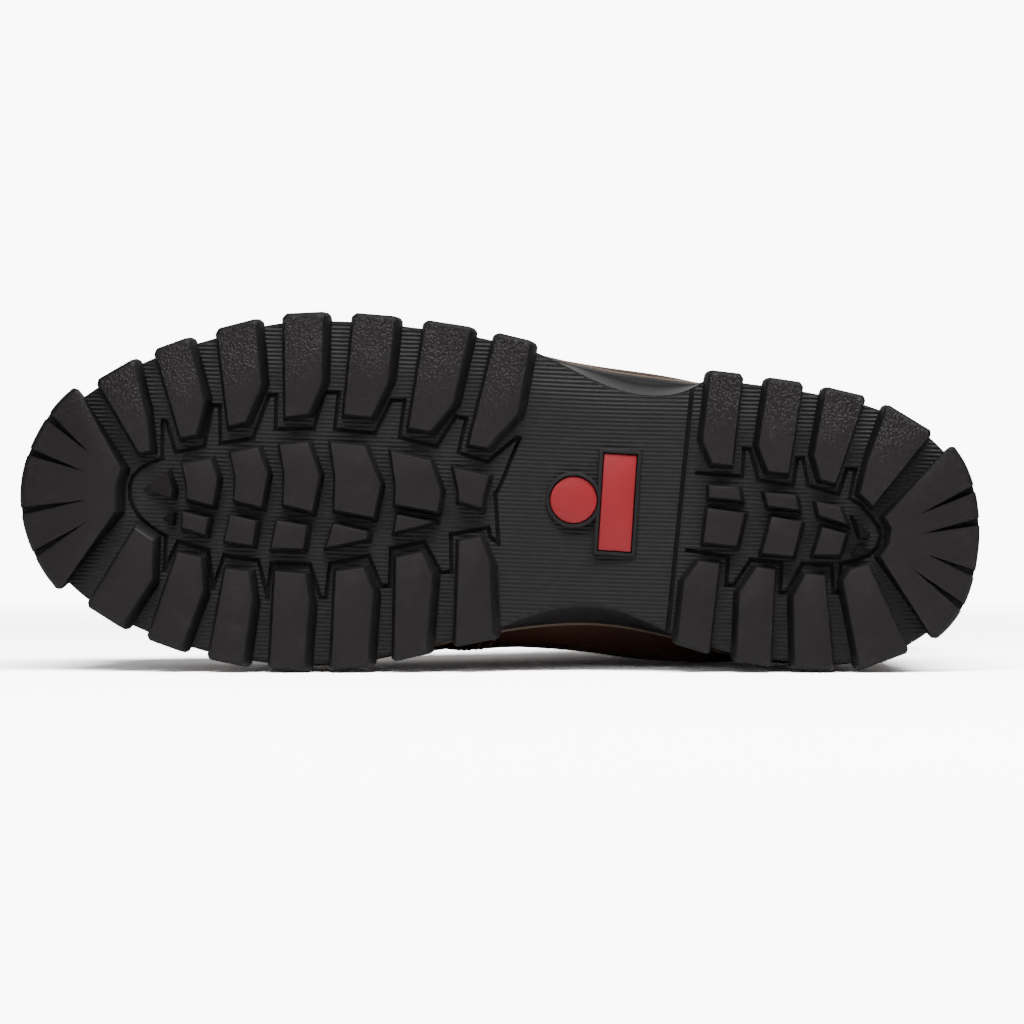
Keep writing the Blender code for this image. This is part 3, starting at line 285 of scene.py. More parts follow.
TOE_SIPES = (
    (0.976, 0.248, 0.930, 0.143),
    (0.996, 0.145, 0.934, 0.088),
    (0.999, -0.030, 0.931, 0.006),
    (0.987, -0.160, 0.930, -0.058),
)
HEEL_SIPES = (
    (0.000, 0.168, 0.063, 0.053),
    (-0.004, 0.040, 0.060, -0.018),
    (-0.001, -0.163, 0.054, -0.092),
    (0.011, -0.292, 0.069, -0.146),
)
BREAST_ENDS = ((0.300, 0.60), (0.323, -0.60))
BAR_PLACE = (0.376, 0.050)
BAR_LEAN = math.radians(1.8)
DISC_ALONG = BAR_PLACE[0] + (BAR_SIZE[0] / 2 + INLAY_SPACING + DISC_DIAMETER / 2) / SOLE_LENGTH
INLAY_PLACES = {"bar": BAR_PLACE, "disc": (DISC_ALONG, 0.054)}

# Fine grooves in zigzags round the centre lugs: along as a share, across in millimetres
GROOVES = (
    (
        (0.854, 14.8), (0.855, 26.9), (0.851, 26.7), (0.840, 16.9), (0.810, 19.1), (0.803, 32.2),
        (0.795, 32.3), (0.793, 20.2), (0.759, 22.1), (0.744, 36.0), (0.736, 36.1), (0.736, 25.2),
        (0.696, 25.9), (0.686, 37.5), (0.671, 37.6), (0.674, 25.8), (0.632, 24.9), (0.616, 35.6),
        (0.602, 35.8), (0.606, 23.9), (0.567, 21.4), (0.548, 31.2), (0.537, 30.6), (0.544, 19.7),
        (0.513, 17.1), (0.484, 25.1),
    ),
    (
        (0.504, 6.7), (0.499, -8.9), (0.508, -6.8), (0.510, -3.9), (0.549, -6.5), (0.547, -18.3),
        (0.558, -18.8), (0.577, -9.0), (0.611, -11.6), (0.611, -23.4), (0.620, -23.8), (0.634, -14.1),
        (0.674, -17.0), (0.677, -27.9), (0.683, -27.9), (0.695, -17.5), (0.735, -17.6), (0.738, -28.2),
        (0.749, -16.8), (0.785, -15.5), (0.795, -25.8), (0.802, -14.1), (0.834, -11.5), (0.847, -20.6),
        (0.847, -9.7),
    ),
    (
        (0.853, 14.8), (0.8665, 13.4), (0.8765, 11.4), (0.8845, 8.8), (0.8873, 5.6), (0.8866, 1.9),
        (0.8830, -0.9), (0.8765, -3.9), (0.8652, -6.9), (0.8550, -8.8), (0.846, -10.0),
    ),
    ((0.4806, 25.0), (0.4984, 10.3), (0.504, 6.7)),
    (
        (0.294, 15.7), (0.247, 15.2), (0.246, 24.1), (0.240, 23.9), (0.230, 14.1), (0.194, 12.8),
        (0.190, 21.5), (0.184, 21.5), (0.178, 13.0), (0.146, 10.4), (0.138, 18.5), (0.129, 18.6),
        (0.134, 9.3), (0.122, 7.0), (0.112, 3.9), (0.1035, 0.4), (0.1005, -2.6), (0.1035, -6.0),
        (0.112, -8.6), (0.125, -10.4), (0.141, -11.6), (0.143, -20.9),
        (0.148, -20.9), (0.151, -12.3), (0.181, -12.0), (0.197, -21.4), (0.204, -21.4), (0.203, -11.8),
        (0.235, -11.2), (0.252, -19.7), (0.260, -19.7), (0.259, -10.5), (0.302, -9.0),
    ),
)
GROOVE_WIDTH = 0.00135
GROOVE_DEPTH = 0.0014

# The pebbled zone inside the lateral edge: its width, the share of that from which it fades, and
# how much it loses at the toe and the heel, and where
PEBBLED_WIDTH = 0.017
PEBBLED_FULL = 0.25
PEBBLED_LOSS = 0.75
SMOOTH_TOE = (0.89, 0.95)
SMOOTH_HEEL = (0.04, 0.10)

# Small wedges at the ends of the centre rows: the along of their full height and of their low tip,
# how far each wall leans, and corners as along and across in millimetres
WEDGES = (
    (0.846, 0.874, (0.0022, 0.0022, 0.0003, 0.0003),
     ((0.848, 10.2), (0.841, 5.1), (0.842, 2.3), (0.874, 4.6))),
    (0.840, 0.851, (0.0003, 0.0010, 0.0003, 0.0003),
     ((0.846, -3.5), (0.839, -2.6), (0.840, -6.1), (0.851, -4.4))),
    (0.125, 0.111, (0.0014, 0.0003, 0.0003), ((0.1280, 2.2), (0.1218, -3.4), (0.1110, -2.4))),
    (0.127, 0.111, (0.0008, 0.0003, 0.0003), ((0.1290, -8.8), (0.1235, -5.9), (0.1115, -6.8))),
)

# The upper's sections from toe to heel: around, swell on the lateral and the medial side in ball
# widths, then along, share of the local width and level for three points from the vamp up. Levels
# past 1 climb the shaft
UPPER_SECTIONS = (
    (0.00, 0.022, 0.022, 0.957, 0.00, 0.50, 0.840, 0.00, 0.66, 0.672, 0.00, 0.80),
    (0.08, 0.022, 0.022, 0.952, 0.20, 0.50, 0.838, 0.13, 0.66, 0.670, 0.14, 0.80),
    (0.15, 0.024, 0.024, 0.925, 0.43, 0.50, 0.830, 0.28, 0.66, 0.664, 0.22, 0.82),
    (0.22, 0.026, 0.026, 0.868, 0.60, 0.49, 0.805, 0.40, 0.68, 0.648, 0.27, 0.86),
    (0.30, 0.028, 0.028, 0.785, 0.72, 0.48, 0.755, 0.51, 0.75, 0.620, 0.29, 0.93),
    (0.40, 0.028, 0.036, 0.655, 0.77, 0.50, 0.645, 0.60, 0.86, 0.565, 0.31, 1.08),
    (0.50, 0.044, 0.086, 0.510, 0.72, 0.55, 0.505, 0.60, 1.02, 0.485, 0.32, 1.40),
    (0.60, 0.062, 0.126, 0.360, 0.80, 0.55, 0.385, 0.70, 1.15, 0.400, 0.38, 1.85),
    (0.70, 0.034, 0.048, 0.215, 0.86, 0.55, 0.235, 0.84, 1.20, 0.300, 0.72, 2.00),
    (0.80, 0.022, 0.022, 0.110, 0.74, 0.50, 0.130, 0.70, 1.15, 0.165, 0.84, 1.98),
    (0.90, 0.022, 0.022, 0.035, 0.42, 0.46, 0.062, 0.42, 1.12, 0.062, 0.50, 1.98),
    (1.00, 0.022, 0.022, 0.012, 0.00, 0.44, 0.046, 0.00, 1.10, 0.034, 0.00, 2.00),
)
PROFILE_KNOTS = np.array((0.0, 0.14, 0.42, 0.70, 1.0))
# Overlays: where round the upper they end, or begin if they wrap the heel, then lowest and highest rise
TOE_CAP = (0.25, 0.07, 0.60)
COUNTER = (0.7083, 0.07, 0.48)
EYESTAY = (0.625, 0.80, 1.0)
CUFF = (0.640, 0.80, 1.0)
EYELET_RISE = 0.90
EYELET_PLACES = np.linspace(0.17, 0.60, EYELET_PAIRS)
LACE_TURN = 0.2
LACE_EDGE_RISE = 0.99
# A small step in turn, around or rise, to find which way a curve or surface runs
PROBE = 0.01

# The seam between vamp and quarter: start, sweep and bow of its line, how high the quarter stands
# and over what width, and where that fades at the top and towards the heel
QUARTER_SEAM = (0.49, 0.10, 0.03)
SEAM_STEP = 0.0010
SEAM_ROLL = 0.009
SEAM_STEP_TOP = (0.70, 0.79)
SEAM_STEP_BACK = (0.62, 0.70)

# Flex creases over the ball, as along, half width and depth, and folds at the ankle, as around,
# rise, half size each way and depth
FLEX_CREASES = (
    (0.735, 0.011, 0.0006),
    (0.690, 0.013, 0.0010),
    (0.645, 0.012, 0.0009),
    (0.602, 0.010, 0.0005),
)
ANKLE_FOLDS = (
    (0.60, 0.66, 0.09, 0.022, 0.0010),
    (0.63, 0.57, 0.08, 0.020, 0.0008),
    (0.90, 0.60, 0.10, 0.022, 0.0009),
)
# Rises where flex creases set in and are full, fade and are gone, their waver, and the folds' slant
CREASED_RISE = (0.30, 0.52, 0.72, 0.82)
CREASE_WAVER = 0.012
FOLD_SLANT = 0.35
# The swelling beside a crease: its share of the depth and its place in widths of the crease
SWELLING_SHARE = 0.6
SWELLING_PLACE = 1.7

# Camera: its distance from the tread, place, and how wide the picture is at the tread
CAMERA_DISTANCE = 1.15
CAMERA_ASIDE = 0.0041
CAMERA_HEIGHT = 0.051
TREAD_Y = -0.098
FRAME_WIDTH = 1.024 / 3.16
SENSOR_WIDTH = 36.0

# How bright paper and air are where they are seen and for what they light
PAPER_SEEN = 5.0
PAPER_LIT = 0.85
PAPER_FADE = (0.28, 0.95)
AIR_SEEN = 9.6
AIR_LIT = 0.10
# A glowing card behind the boot, which only shows as a reflection
CARD_GLOW = 1.3
CARD_PLACE = (0.0, 2.6, 1.25)
CARD_SIZE = (5.0, 2.4, 1.0, 1.0)
FLOOR_SIZE = 40.0
BACKDROP_RADIUS = 19.0

# Lights: name, place, width, depth and power in watts
LIGHTS = (
    ("over_light", (0.20, -0.72, 1.35), 1.9, 0.55, 51.0),
    ("front_light", (-0.7, -1.9, 0.9), 1.2, 1.2, 5.0),
)
LIGHT_AIM = Vector((0.0, 0.0, 0.04))


def spline(knots, values, at):
    """Values on the smooth curve through values at knots, for an array of places."""
    knots = np.asarray(knots, float)
    values = np.asarray(values, float)
    i = np.clip(np.searchsorted(knots, at) - 1, 0, len(knots) - 2)
    low = np.maximum(np.arange(len(knots)) - 1, 0)
    high = np.minimum(np.arange(len(knots)) + 1, len(knots) - 1)
    run = (knots[high] - knots[low]).reshape(-1, *[1] * (values.ndim - 1))
    slopes = (values[high] - values[low]) / run
    span = knots[i + 1] - knots[i]
    t = (at - knots[i]) / span
    column = (np.arange(values.shape[1]),) if values.ndim == 2 else ()
    here, after = (i, *column), (i + 1, *column)
    return (
        values[here] * (2 * t**3 - 3 * t**2 + 1)
        + slopes[here] * span * (t**3 - 2 * t**2 + t)
        + values[after] * (3 * t**2 - 2 * t**3)
        + slopes[after] * span * (t**3 - t**2)
    )


def share(at, low, high):
    return np.clip((np.asarray(at, float) - low) / (high - low), 0.0, 1.0)


def ramp(at, low, high):
    t = share(at, low, high)
    return t * t * (3 - 2 * t)


def unit(ways):
    return ways / np.linalg.norm(ways, axis=-1, keepdims=True)


def lengths(line):
    """How long a line is up to each of its points."""
    steps = np.linalg.norm(np.diff(line, axis=0), axis=1)
    return np.concatenate([[0.0], np.cumsum(steps)])


def resampled(values, length, at):
    """Values along a line at other lengths."""
    return np.stack([np.interp(at, length, column) for column in values.T], axis=-1)


def local_width(along):
    return HEEL_WIDTH + (BALL_WIDTH - HEEL_WIDTH) * ramp(along, *WIDTH_CHANGE)


def tread(along):
    spring = np.maximum(along - SPRING_START, 0.0) / (1.0 - SPRING_START)
    bevel = np.maximum(BEVEL_END - along, 0.0) / BEVEL_END
    return TOE_SPRING * spring**2 + HEEL_BEVEL * bevel**1.5


def base(along):
    arch = np.sin(math.pi * share(along, *ARCH_SPAN)) ** ARCH_BLUNTNESS
    return tread(along) + LUG_HEIGHT + ARCH_RISE * arch


def sole_top(along):
    return tread(along) + FOREFOOT_THICKNESS + HEEL_LIFT * (1 - ramp(along, *LIFT_CHANGE))


def upper_seat(along):
    return sole_top(along) + WELT_THICKNESS + 2 * GAP


def undercut(along, side):
    """How far the arch is cut in, deepest nearer to the heel on the lateral side."""
    low, high, skew = UNDERCUT_SPAN[side]
    return ARCH_UNDERCUT[side] * np.sin(math.pi * share(along, low, high) ** skew) ** UNDERCUT_BLUNTNESS


def turn_of(along):
    return np.arccos(np.clip((along - SOLE_MIDDLE) / SOLE_HALF, -1.0, 1.0))


def along_of(turn):
    return SOLE_MIDDLE + SOLE_HALF * np.cos(turn)


def along_at(x):
    return 0.5 - x / SOLE_LENGTH


def edge_tables():
    turns = [float(turn_of(row[0])) for row in OUTLINE]
    sides = {}
    for side, column, other in ((1, 1, 2), (-1, 2, 1)):
        reach = [side * row[column] * float(local_width(row[0])) for row in OUTLINE]
        past_toe = -side * OUTLINE[0][other] * float(local_width(OUTLINE[0][0]))
        past_heel = -side * OUTLINE[-1][other] * float(local_width(OUTLINE[-1][0]))
        knots = [-turns[0], 0.0, *turns, math.pi, 2 * math.pi - turns[-1]]
        values = [past_toe, TOE_TIP[1] * BALL_WIDTH, *reach, HEEL_TIP[1] * HEEL_WIDTH, past_heel]
        sides[side] = (np.array(knots), np.array(values))
    return sides


EDGE = edge_tables()


def edge_point(turn, side, inset=0.0):
    """x and across of the sole's edge at angles round it, moved inwards by inset."""
    turn = np.asarray(turn, float)
    low, here, high = (
        np.stack([(0.5 - along_of(t)) * SOLE_LENGTH, spline(*EDGE[side], t)], axis=-1)
        for t in (turn - PROBE, turn, turn + PROBE)
    )
    run = unit(high - low)
    inward = np.stack([run[..., 1], -run[..., 0]], axis=-1) * side
    return here + inward * np.asarray(inset)[..., None]


def profiles(around, side):
    """The five points of the upper's sections at places round the edge, as an array by point."""
    turns = [row[0] for row in UPPER_SECTIONS]
    knots = [-turns[1], *turns, 2 - turns[-2]]

    def column(index, flip=1):
        values = [row[index] for row in UPPER_SECTIONS]
        return spline(knots, [flip * values[1], *values, flip * values[-2]], around)

    swell = column(1 if side > 0 else 2) * BALL_WIDTH
    points = []
    for inset, level in ((WELT_WIDTH, 0.0), (WELT_WIDTH - swell, SWELL_LEVEL)):
        at = edge_point(math.pi * around, side, inset + 0 * around)
        height = upper_seat(along_at(at[:, 0])) + level * INSTEP_HEIGHT
        points.append(np.stack([at[:, 0], height, at[:, 1]], axis=-1))
    for first in (3, 6, 9):
        along = column(first)
        half = column(first + 1, flip=-1) * local_width(along) / 2
        level = column(first + 2)
        across = TOE_SWING * ramp(along, *SWING_CHANGE) + side * half
        rise = np.minimum(level, 1.0) * INSTEP_HEIGHT + np.maximum(level - 1.0, 0.0) * SHAFT_RISE
        points.append(np.stack([(0.5 - along) * SOLE_LENGTH, upper_seat(along) + rise, across], axis=-1))
    return np.array(points)


def paired(around, rise):
    """Arrays of equal length for places on the upper."""
    around = np.atleast_1d(np.asarray(around, float))
    return around, np.broadcast_to(np.asarray(rise, float), around.shape)


def wrapped(around):
    return (around + 1) % 2 - 1


def upper_points(around, rise):
    """Points of the upper's outer surface for arrays of around and rise."""
    around, rise = paired(around, rise)
    around = wrapped(around)
    found = np.zeros((len(around), 3))
    for side, mask in ((1, around >= 0), (-1, around < 0)):
        if mask.any():
            section = profiles(np.abs(around[mask]), side)
            for axis in range(3):
                found[mask, axis] = spline(PROFILE_KNOTS, section[:, :, axis], rise[mask])
    return found


def upper_normals(around, rise):
    around, rise = paired(around, rise)
    low, high = np.maximum(rise - PROBE, 0.0), np.minimum(rise + PROBE, 1.0)
    across = upper_points(around + PROBE, rise) - upper_points(around - PROBE, rise)
    up = upper_points(around, high) - upper_points(around, low)
    return unit(np.cross(across, up))


def quarter_seam(rise):
    """How far round the seam between vamp and quarter lies."""
    start, sweep, bow = QUARTER_SEAM
    rise = np.asarray(rise, float)
    return start - sweep * rise**1.3 - bow * np.sin(math.pi * rise)


def dent(wave, aside, depth):
    """A crease across wave that fades aside, with a softer swelling on both of its sides."""
    swelling = np.exp(-(aside**2) - (np.abs(wave) - SWELLING_PLACE) ** 2)
    return depth * (SWELLING_SHARE * swelling - np.exp(-(aside**2) - wave**2))


def creasing(around, rise, points):
    """How far the worn leather lies in or out at places of the upper."""
    along = along_at(points[:, 0])
    offset = np.zeros(len(points))
    low, full, fading, gone = CREASED_RISE
    over_vamp = ramp(rise, low, full) * (1 - ramp(rise, fading, gone))
    waver = CREASE_WAVER * np.sin(5.0 * np.sign(around) + 9.0 * rise)
    for place, width, depth in FLEX_CREASES:
        offset += over_vamp * dent((along - place + waver) / width, 0.0, depth)
    for place, level, wide, tall, depth in ANKLE_FOLDS:
        aside = (np.abs(around) - place) / wide
        offset += dent((rise - level - FOLD_SLANT * aside * tall) / tall, aside, depth)
    behind_seam = ramp(np.abs(around) - quarter_seam(rise), 0.0, SEAM_ROLL)
    under_cuff = 1 - ramp(rise, *SEAM_STEP_TOP)
    before_heel = 1 - ramp(np.abs(around), *SEAM_STEP_BACK)
    return offset + SEAM_STEP * behind_seam * under_cuff * before_heel


def raised(around, rise, distance, creased=True):
    """Points at a distance outside the upper."""
    around, rise = paired(around, rise)
    points = upper_points(around, rise)
    offset = np.asarray(distance) + (creasing(wrapped(around), rise, points) if creased else 0.0)
    return points + upper_normals(around, rise) * np.broadcast_to(offset, around.shape)[:, None]


def spot(around, rise, distance):
    """One point at a distance outside the upper's even form."""
    return raised(around, rise, distance, creased=False)[0]


def eyelet_spots():
    """The name, place round the upper and centre of each eyelet."""
    for k, place in enumerate(EYELET_PLACES):
        for side, label in ((1, "lateral"), (-1, "medial")):
            centre = spot(side * place, EYELET_RISE, SEAT + EYELET_WIRE + GAP)
            yield f"eyelet_{label}_{k + 1}", side * place, centre


def laying_matrix():
    """The boot's own frame to the row's, from where the eyelets lie in the frame."""
    spots = list(eyelet_spots())
    own = np.array([centre for _, _, centre in spots])
    laid = np.array([np.mean([list(corner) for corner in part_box(name)], axis=0) for name, _, _ in spots])
    u, _, v = np.linalg.svd((own - own.mean(axis=0)).T @ (laid - laid.mean(axis=0)))
    flip = np.diag([1.0, 1.0, np.sign(np.linalg.det(v.T @ u.T))])
    turn = v.T @ flip @ u.T
    shift = laid.mean(axis=0) - turn @ own.mean(axis=0)
    return Matrix.Translation(Vector(shift)) @ Matrix(turn.tolist()).to_4x4()


LAID = laying_matrix()


class Amount:
    """A number that varies over a surface. Sums and products of amounts add their own nodes."""

    def __init__(self, finish, socket):
        self.finish = finish
        self.socket = socket

    def __add__(self, other):
        return self.finish.maths("ADD", self, other)

    def __sub__(self, other):
        return self.finish.maths("SUBTRACT", self, other)

    def __rsub__(self, other):
        return self.finish.maths("SUBTRACT", other, self)

    def __mul__(self, other):
        return self.finish.maths("MULTIPLY", self, other)

    __radd__ = __add__
    __rmul__ = __mul__

    def smooth(self, low, high):
        """0 below low, 1 above high and smooth in between."""
        settings = {"interpolation_type": "SMOOTHSTEP", "clamp": True}
        sockets = {"Value": self, "From Min": low, "From Max": high}
        return self.finish.amount("ShaderNodeMapRange", settings, sockets, "Result")


class Finish:
    """A material whose shader is fed by expressions."""

    def __init__(self, name, **constants):
        self.material = bpy.data.materials.new(name)
        self.material.use_nodes = True
        self.tree = self.material.node_tree
        self.shader = self.tree.nodes["Principled BSDF"]
        for key, value in constants.items():
            self.shader.inputs[key.replace("_", " ").title().replace("Ior", "IOR")].default_value = value

    def node(self, kind, settings, sockets):
        made = self.tree.nodes.new(kind)
        for key, value in settings.items():
            setattr(made, key, value)
        for key, value in sockets.items():
            self.feed(made.inputs[key], value)
        return made

    def feed(self, inlet, value):
        """Links an amount or a socket, or sets a constant."""
        value = value.socket if isinstance(value, Amount) else value
        if isinstance(value, bpy.types.NodeSocket):
            self.tree.links.new(value, inlet)
        else:
            inlet.default_value = value

    def amount(self, kind, settings, sockets, output):
        return Amount(self, self.node(kind, settings, sockets).outputs[output])

    def maths(self, operation, *values):
        sockets = dict(enumerate(values))
        return self.amount("ShaderNodeMath", {"operation": operation}, sockets, "Value")

    def coordinates(self, kind):
        return self.node("ShaderNodeTexCoord", {}, {}).outputs[kind]

    def place(self):
        """Object coordinates, turned back into the boot's own frame."""
        sockets = {"Vector": self.coordinates("Object"), "Rotation": LAID.inverted().to_euler()}
        return self.node("ShaderNodeMapping", {"vector_type": "POINT"}, sockets).outputs["Vector"]

    def axes(self, vector):
        parts = self.node("ShaderNodeSeparateXYZ", {}, {"Vector": vector})
        return [Amount(self, outlet) for outlet in parts.outputs]

    def attribute(self, name):
        return self.amount("ShaderNodeAttribute", {"attribute_name": name}, {}, "Fac")

    def noise(self, vector, scale, detail=3.0, roughness=0.55):
        sockets = {"Vector": vector, "Scale": scale, "Detail": detail, "Roughness": roughness}
        return self.amount("ShaderNodeTexNoise", {}, sockets, "Fac")

    def cells(self, vector, scale):
        return self.amount("ShaderNodeTexVoronoi", {}, {"Vector": vector, "Scale": scale}, "Distance")

    def paint(self, mask, first, second):
        """Colours the surface between two RGB triples."""
        sockets = {0: mask, 6: (*first, 1.0), 7: (*second, 1.0)}
        mixed = self.node("ShaderNodeMix", {"data_type": "RGBA"}, sockets).outputs[2]
        self.feed(self.shader.inputs["Base Color"], mixed)

    def roughen(self, amount):
        self.feed(self.shader.inputs["Roughness"], amount)

    def relief(self, height, distance):
        """Bumps the surface by height times distance in metres."""
        bump = self.node("ShaderNodeBump", {}, {"Strength": 1.0, "Distance": distance, "Height": height})
        self.feed(self.shader.inputs["Normal"], bump.outputs["Normal"])

    def end_in(self, shader):
        """Puts another shader in place of the usual one."""
        self.tree.nodes.remove(self.shader)
        self.feed(self.tree.nodes["Material Output"].inputs["Surface"], shader)
        return self.material


def rubber(name, shade, roughness, ribs=0.0, pebbles=0.0):
    """Black rubber, with fine ribs along the sole or with pebbles towards the lateral edge. Its colour is
    lighter with dust and random tone, and with painted highlights on the rib crests and the pebble tops.
    """
    finish = Finish(name, roughness=roughness, specular_ior_level=0.25)
    place = finish.place()
    fine = finish.noise(place, 2600.0, 2.0)
    broad = finish.noise(place, 42.0)
    height = fine * 0.10 + broad * 0.2
    dust = finish.noise(place, 160.0, 4.0).smooth(0.52, 0.80)
    # Dust and random tone lighten the colour here; the rib and pebble marks below add painted highlights
    # to this mask.
    dust_and_painted_highlights = dust * 0.5 + broad * 0.3
    if ribs:
        near_edge = finish.attribute("lateral_edge")
        across = finish.axes(place)[2]
        waver = finish.noise(place, 26.0, 1.0) * 0.25
        rib = finish.maths("SINE", across * (2 * math.pi / ribs) + waver)
        strength = near_edge * 0.6 + 0.4
        height = height + rib * strength * 0.7
        # The rib crests are painted lighter: a painted highlight along the ribs.
        dust_and_painted_highlights = dust_and_painted_highlights * 0.6 + rib * strength * 0.16 + 0.1
    if pebbles:
        near_edge = finish.attribute("lateral_edge")
        bumps = 1 - finish.cells(place, pebbles).smooth(0.0, 0.75)
        patches = finish.noise(place, 120.0).smooth(0.35, 0.60)
        height = height + bumps * near_edge * 2.0
        # Pebble tops are painted lighter in patches: painted sparkle highlights on the pebbled zone.
        dust_and_painted_highlights = dust_and_painted_highlights + bumps.smooth(0.45, 0.85) * near_edge * patches * 0.7
    finish.paint(dust_and_painted_highlights, shade, [c * 1.75 + 0.004 for c in shade])
    finish.roughen(broad * 0.16 + (roughness - 0.08))
    finish.relief(height, 0.00024)
    return finish.material


def leather(name, shade, worn, roughness=0.46):
    """Waxed leather with pores, soft wrinkles and paler wear."""
    finish = Finish(name, roughness=roughness, specular_ior_level=0.32)
    place = finish.place()
    pores = finish.cells(place, 1050.0)
    wrinkles = finish.noise(place, 95.0, 5.0, 0.6)
    clouds = finish.noise(place, 22.0, 4.0, 0.6)
    scuffs = finish.noise(place, 60.0, 6.0, 0.7).smooth(0.60, 0.74)
    finish.paint(clouds.smooth(0.30, 0.75) * 0.75 + scuffs * 0.25, shade, worn)
    finish.roughen(clouds * 0.22 + scuffs * 0.12 + (roughness - 0.12))
    finish.relief(pores.smooth(0.05, 0.7) * 0.14 + wrinkles * 0.8, 0.00030)
    return finish.material


def woven(name, shade, pale, pitch, along_uv=True):
    """Cloth with a fine diagonal braid, which follows the piece's own UV map in metres if it has one."""
    finish = Finish(name, roughness=0.85, sheen_weight=0.25)
    u, v = finish.axes(finish.coordinates("UV") if along_uv else finish.place())[:2]
    first = finish.maths("SINE", (u + v) * (2 * math.pi / pitch))
    second = finish.maths("SINE", (u - v) * (2 * math.pi / pitch))
    weave = finish.maths("MAXIMUM", first, second) * 0.5 + 0.5
    fuzz = finish.noise(finish.place(), 1500.0)
    finish.paint(weave * 0.7 + fuzz * 0.3, shade, pale)
    finish.relief(weave + fuzz * 0.4, 0.0003)
    return finish.material


def metal(name, shade):
    """Worn metal with darker spots."""
    finish = Finish(name, roughness=0.32, metallic=1.0)
    spots = finish.noise(finish.place(), 420.0, 4.0)
    finish.paint(spots.smooth(0.35, 0.7), shade, [c * 0.45 for c in shade])
    finish.roughen(spots * 0.3 + 0.2)
    finish.relief(spots, 0.00006)
    return finish.material


def plain(name, shade, roughness):
    """A finish with only a faint grain, for moulded red marks and for thread."""
    finish = Finish(name, roughness=roughness)
    place = finish.place()
    finish.paint(finish.noise(place, 90.0), [c * 0.82 for c in shade], [c * 1.12 for c in shade])
    finish.relief(finish.noise(place, 900.0), 0.00008)
    return finish.material


# The outsole's finishes, in the order of its material slots
FACE, FLOOR, WALL, SIDE, GROOVE = range(5)
RUBBERS = (
    rubber("rubber_lug_face", (0.0070, 0.0052, 0.0059), 0.50, pebbles=1100.0),
    rubber("rubber_ribbed", (0.0044, 0.0038, 0.0038), 0.54, ribs=0.00132),
    # The lug walls' rubber is the same black rubber painted darker: painted shade in the recesses between
    # the lugs, also on the sipe walls and the inlay seats.
    rubber("rubber_lug_wall_painted_shade", (0.0036, 0.0030, 0.0030), 0.60),
    rubber("rubber_side", (0.0062, 0.0053, 0.0056), 0.52),
    # The groove rubber is the same rubber painted much darker: painted shade in the fine grooves.
    rubber("rubber_groove_painted_shade", (0.0014, 0.0011, 0.0011), 0.75),
)


def only(*objects):
    """Deselects everything and then selects these objects, the first one active."""
    bpy.ops.object.select_all(action="DESELECT")
    for obj in objects:
        obj.select_set(True)
    bpy.context.view_layer.objects.active = objects[0]


def edited(obj, *steps):
    """Takes steps in edit mode with all of one object selected."""
    only(obj)
    bpy.ops.object.mode_set(mode="EDIT")
    bpy.ops.mesh.select_all(action="SELECT")
    for step, settings in steps:
        step(**settings)
    bpy.ops.object.mode_set(mode="OBJECT")
    return obj


def welded(obj, distance=1e-6, closed=True):
    """Joins doubled corners, closes what is open if wanted and turns the faces outwards."""
    ends = [(bpy.ops.mesh.fill_holes, {"sides": 0})] if closed else []
    weld = (bpy.ops.mesh.remove_doubles, {"threshold": distance})
    return edited(obj, weld, *ends, (bpy.ops.mesh.normals_make_consistent, {"inside": False}))


def faced(obj, place, way):
    """Turns a sheet over if its front at a place doesn't look the way given."""
    nearest = min(obj.data.polygons, key=lambda face: (face.center - Vector(place)).length)
    if nearest.normal.dot(Vector(way)) < 0:
        edited(obj, (bpy.ops.mesh.flip_normals, {}))
    return obj


def named(name):
    obj = bpy.context.object
    obj.name = name
    obj.data.name = name
    return obj


def corners_of(obj):
    found = np.zeros(len(obj.data.vertices) * 3)
    obj.data.vertices.foreach_get("co", found)
    return found.reshape(-1, 3)


def steps_of(part, count):
    return np.rint(part * count).astype(int)


def shaped_sheet(name, columns, rows, at):
    """A grid of faces whose corners go where at puts their shares of columns and rows."""
    bpy.ops.mesh.primitive_grid_add(x_subdivisions=columns, y_subdivisions=rows, size=1.0)
    obj = named(name)
    places = corners_of(obj) + 0.5
    obj.data.vertices.foreach_set("co", np.asarray(at(places[:, 0], places[:, 1])).reshape(-1))
    obj.data.update()
    return obj


def sheet_through(name, points, ring=False, tube=False):
    """A sheet through rows of points. The rows are rings if wanted, and the last may meet the first."""
    rows, columns = points.shape[:2]
    across, down = columns - (not ring), rows - (not tube)

    def at(u, v):
        return points[steps_of(v, down) % rows, steps_of(u, across) % columns]

    return shaped_sheet(name, across, down, at)


def measured(obj, wide, tall):
    """Gives the UV map of a sheet its real size in metres."""
    layer = obj.data.uv_layers.active or obj.data.uv_layers.new(name="UVMap")
    shares = np.zeros(len(obj.data.loops) * 2)
    layer.data.foreach_get("uv", shares)
    layer.data.foreach_set("uv", (shares.reshape(-1, 2) * np.array((wide, tall))).reshape(-1))


def applied(obj, kind, **settings):
    modifier = obj.modifiers.new(kind.lower(), kind)
    for key, value in settings.items():
        setattr(modifier, key, value)
    only(obj)
    bpy.ops.object.modifier_apply(modifier=modifier.name)
    return obj


def thickened(obj, thickness, **settings):
    """Gives a sheet its thickness, inwards from its front."""
    return applied(obj, "SOLIDIFY", thickness=thickness, offset=-1.0, use_quality_normals=True, **settings)


def combined(obj, other, operation):
    applied(obj, "BOOLEAN", operation=operation, solver="EXACT", object=other, use_self=True)
    bpy.data.objects.remove(other, do_unlink=True)
    return obj


def merged(objects):
    only(*objects)
    if len(objects) > 1:
        bpy.ops.object.join()
    return bpy.context.object


def linked(name, data):
    obj = bpy.data.objects.new(name, data)
    bpy.context.scene.collection.objects.link(obj)
    return obj


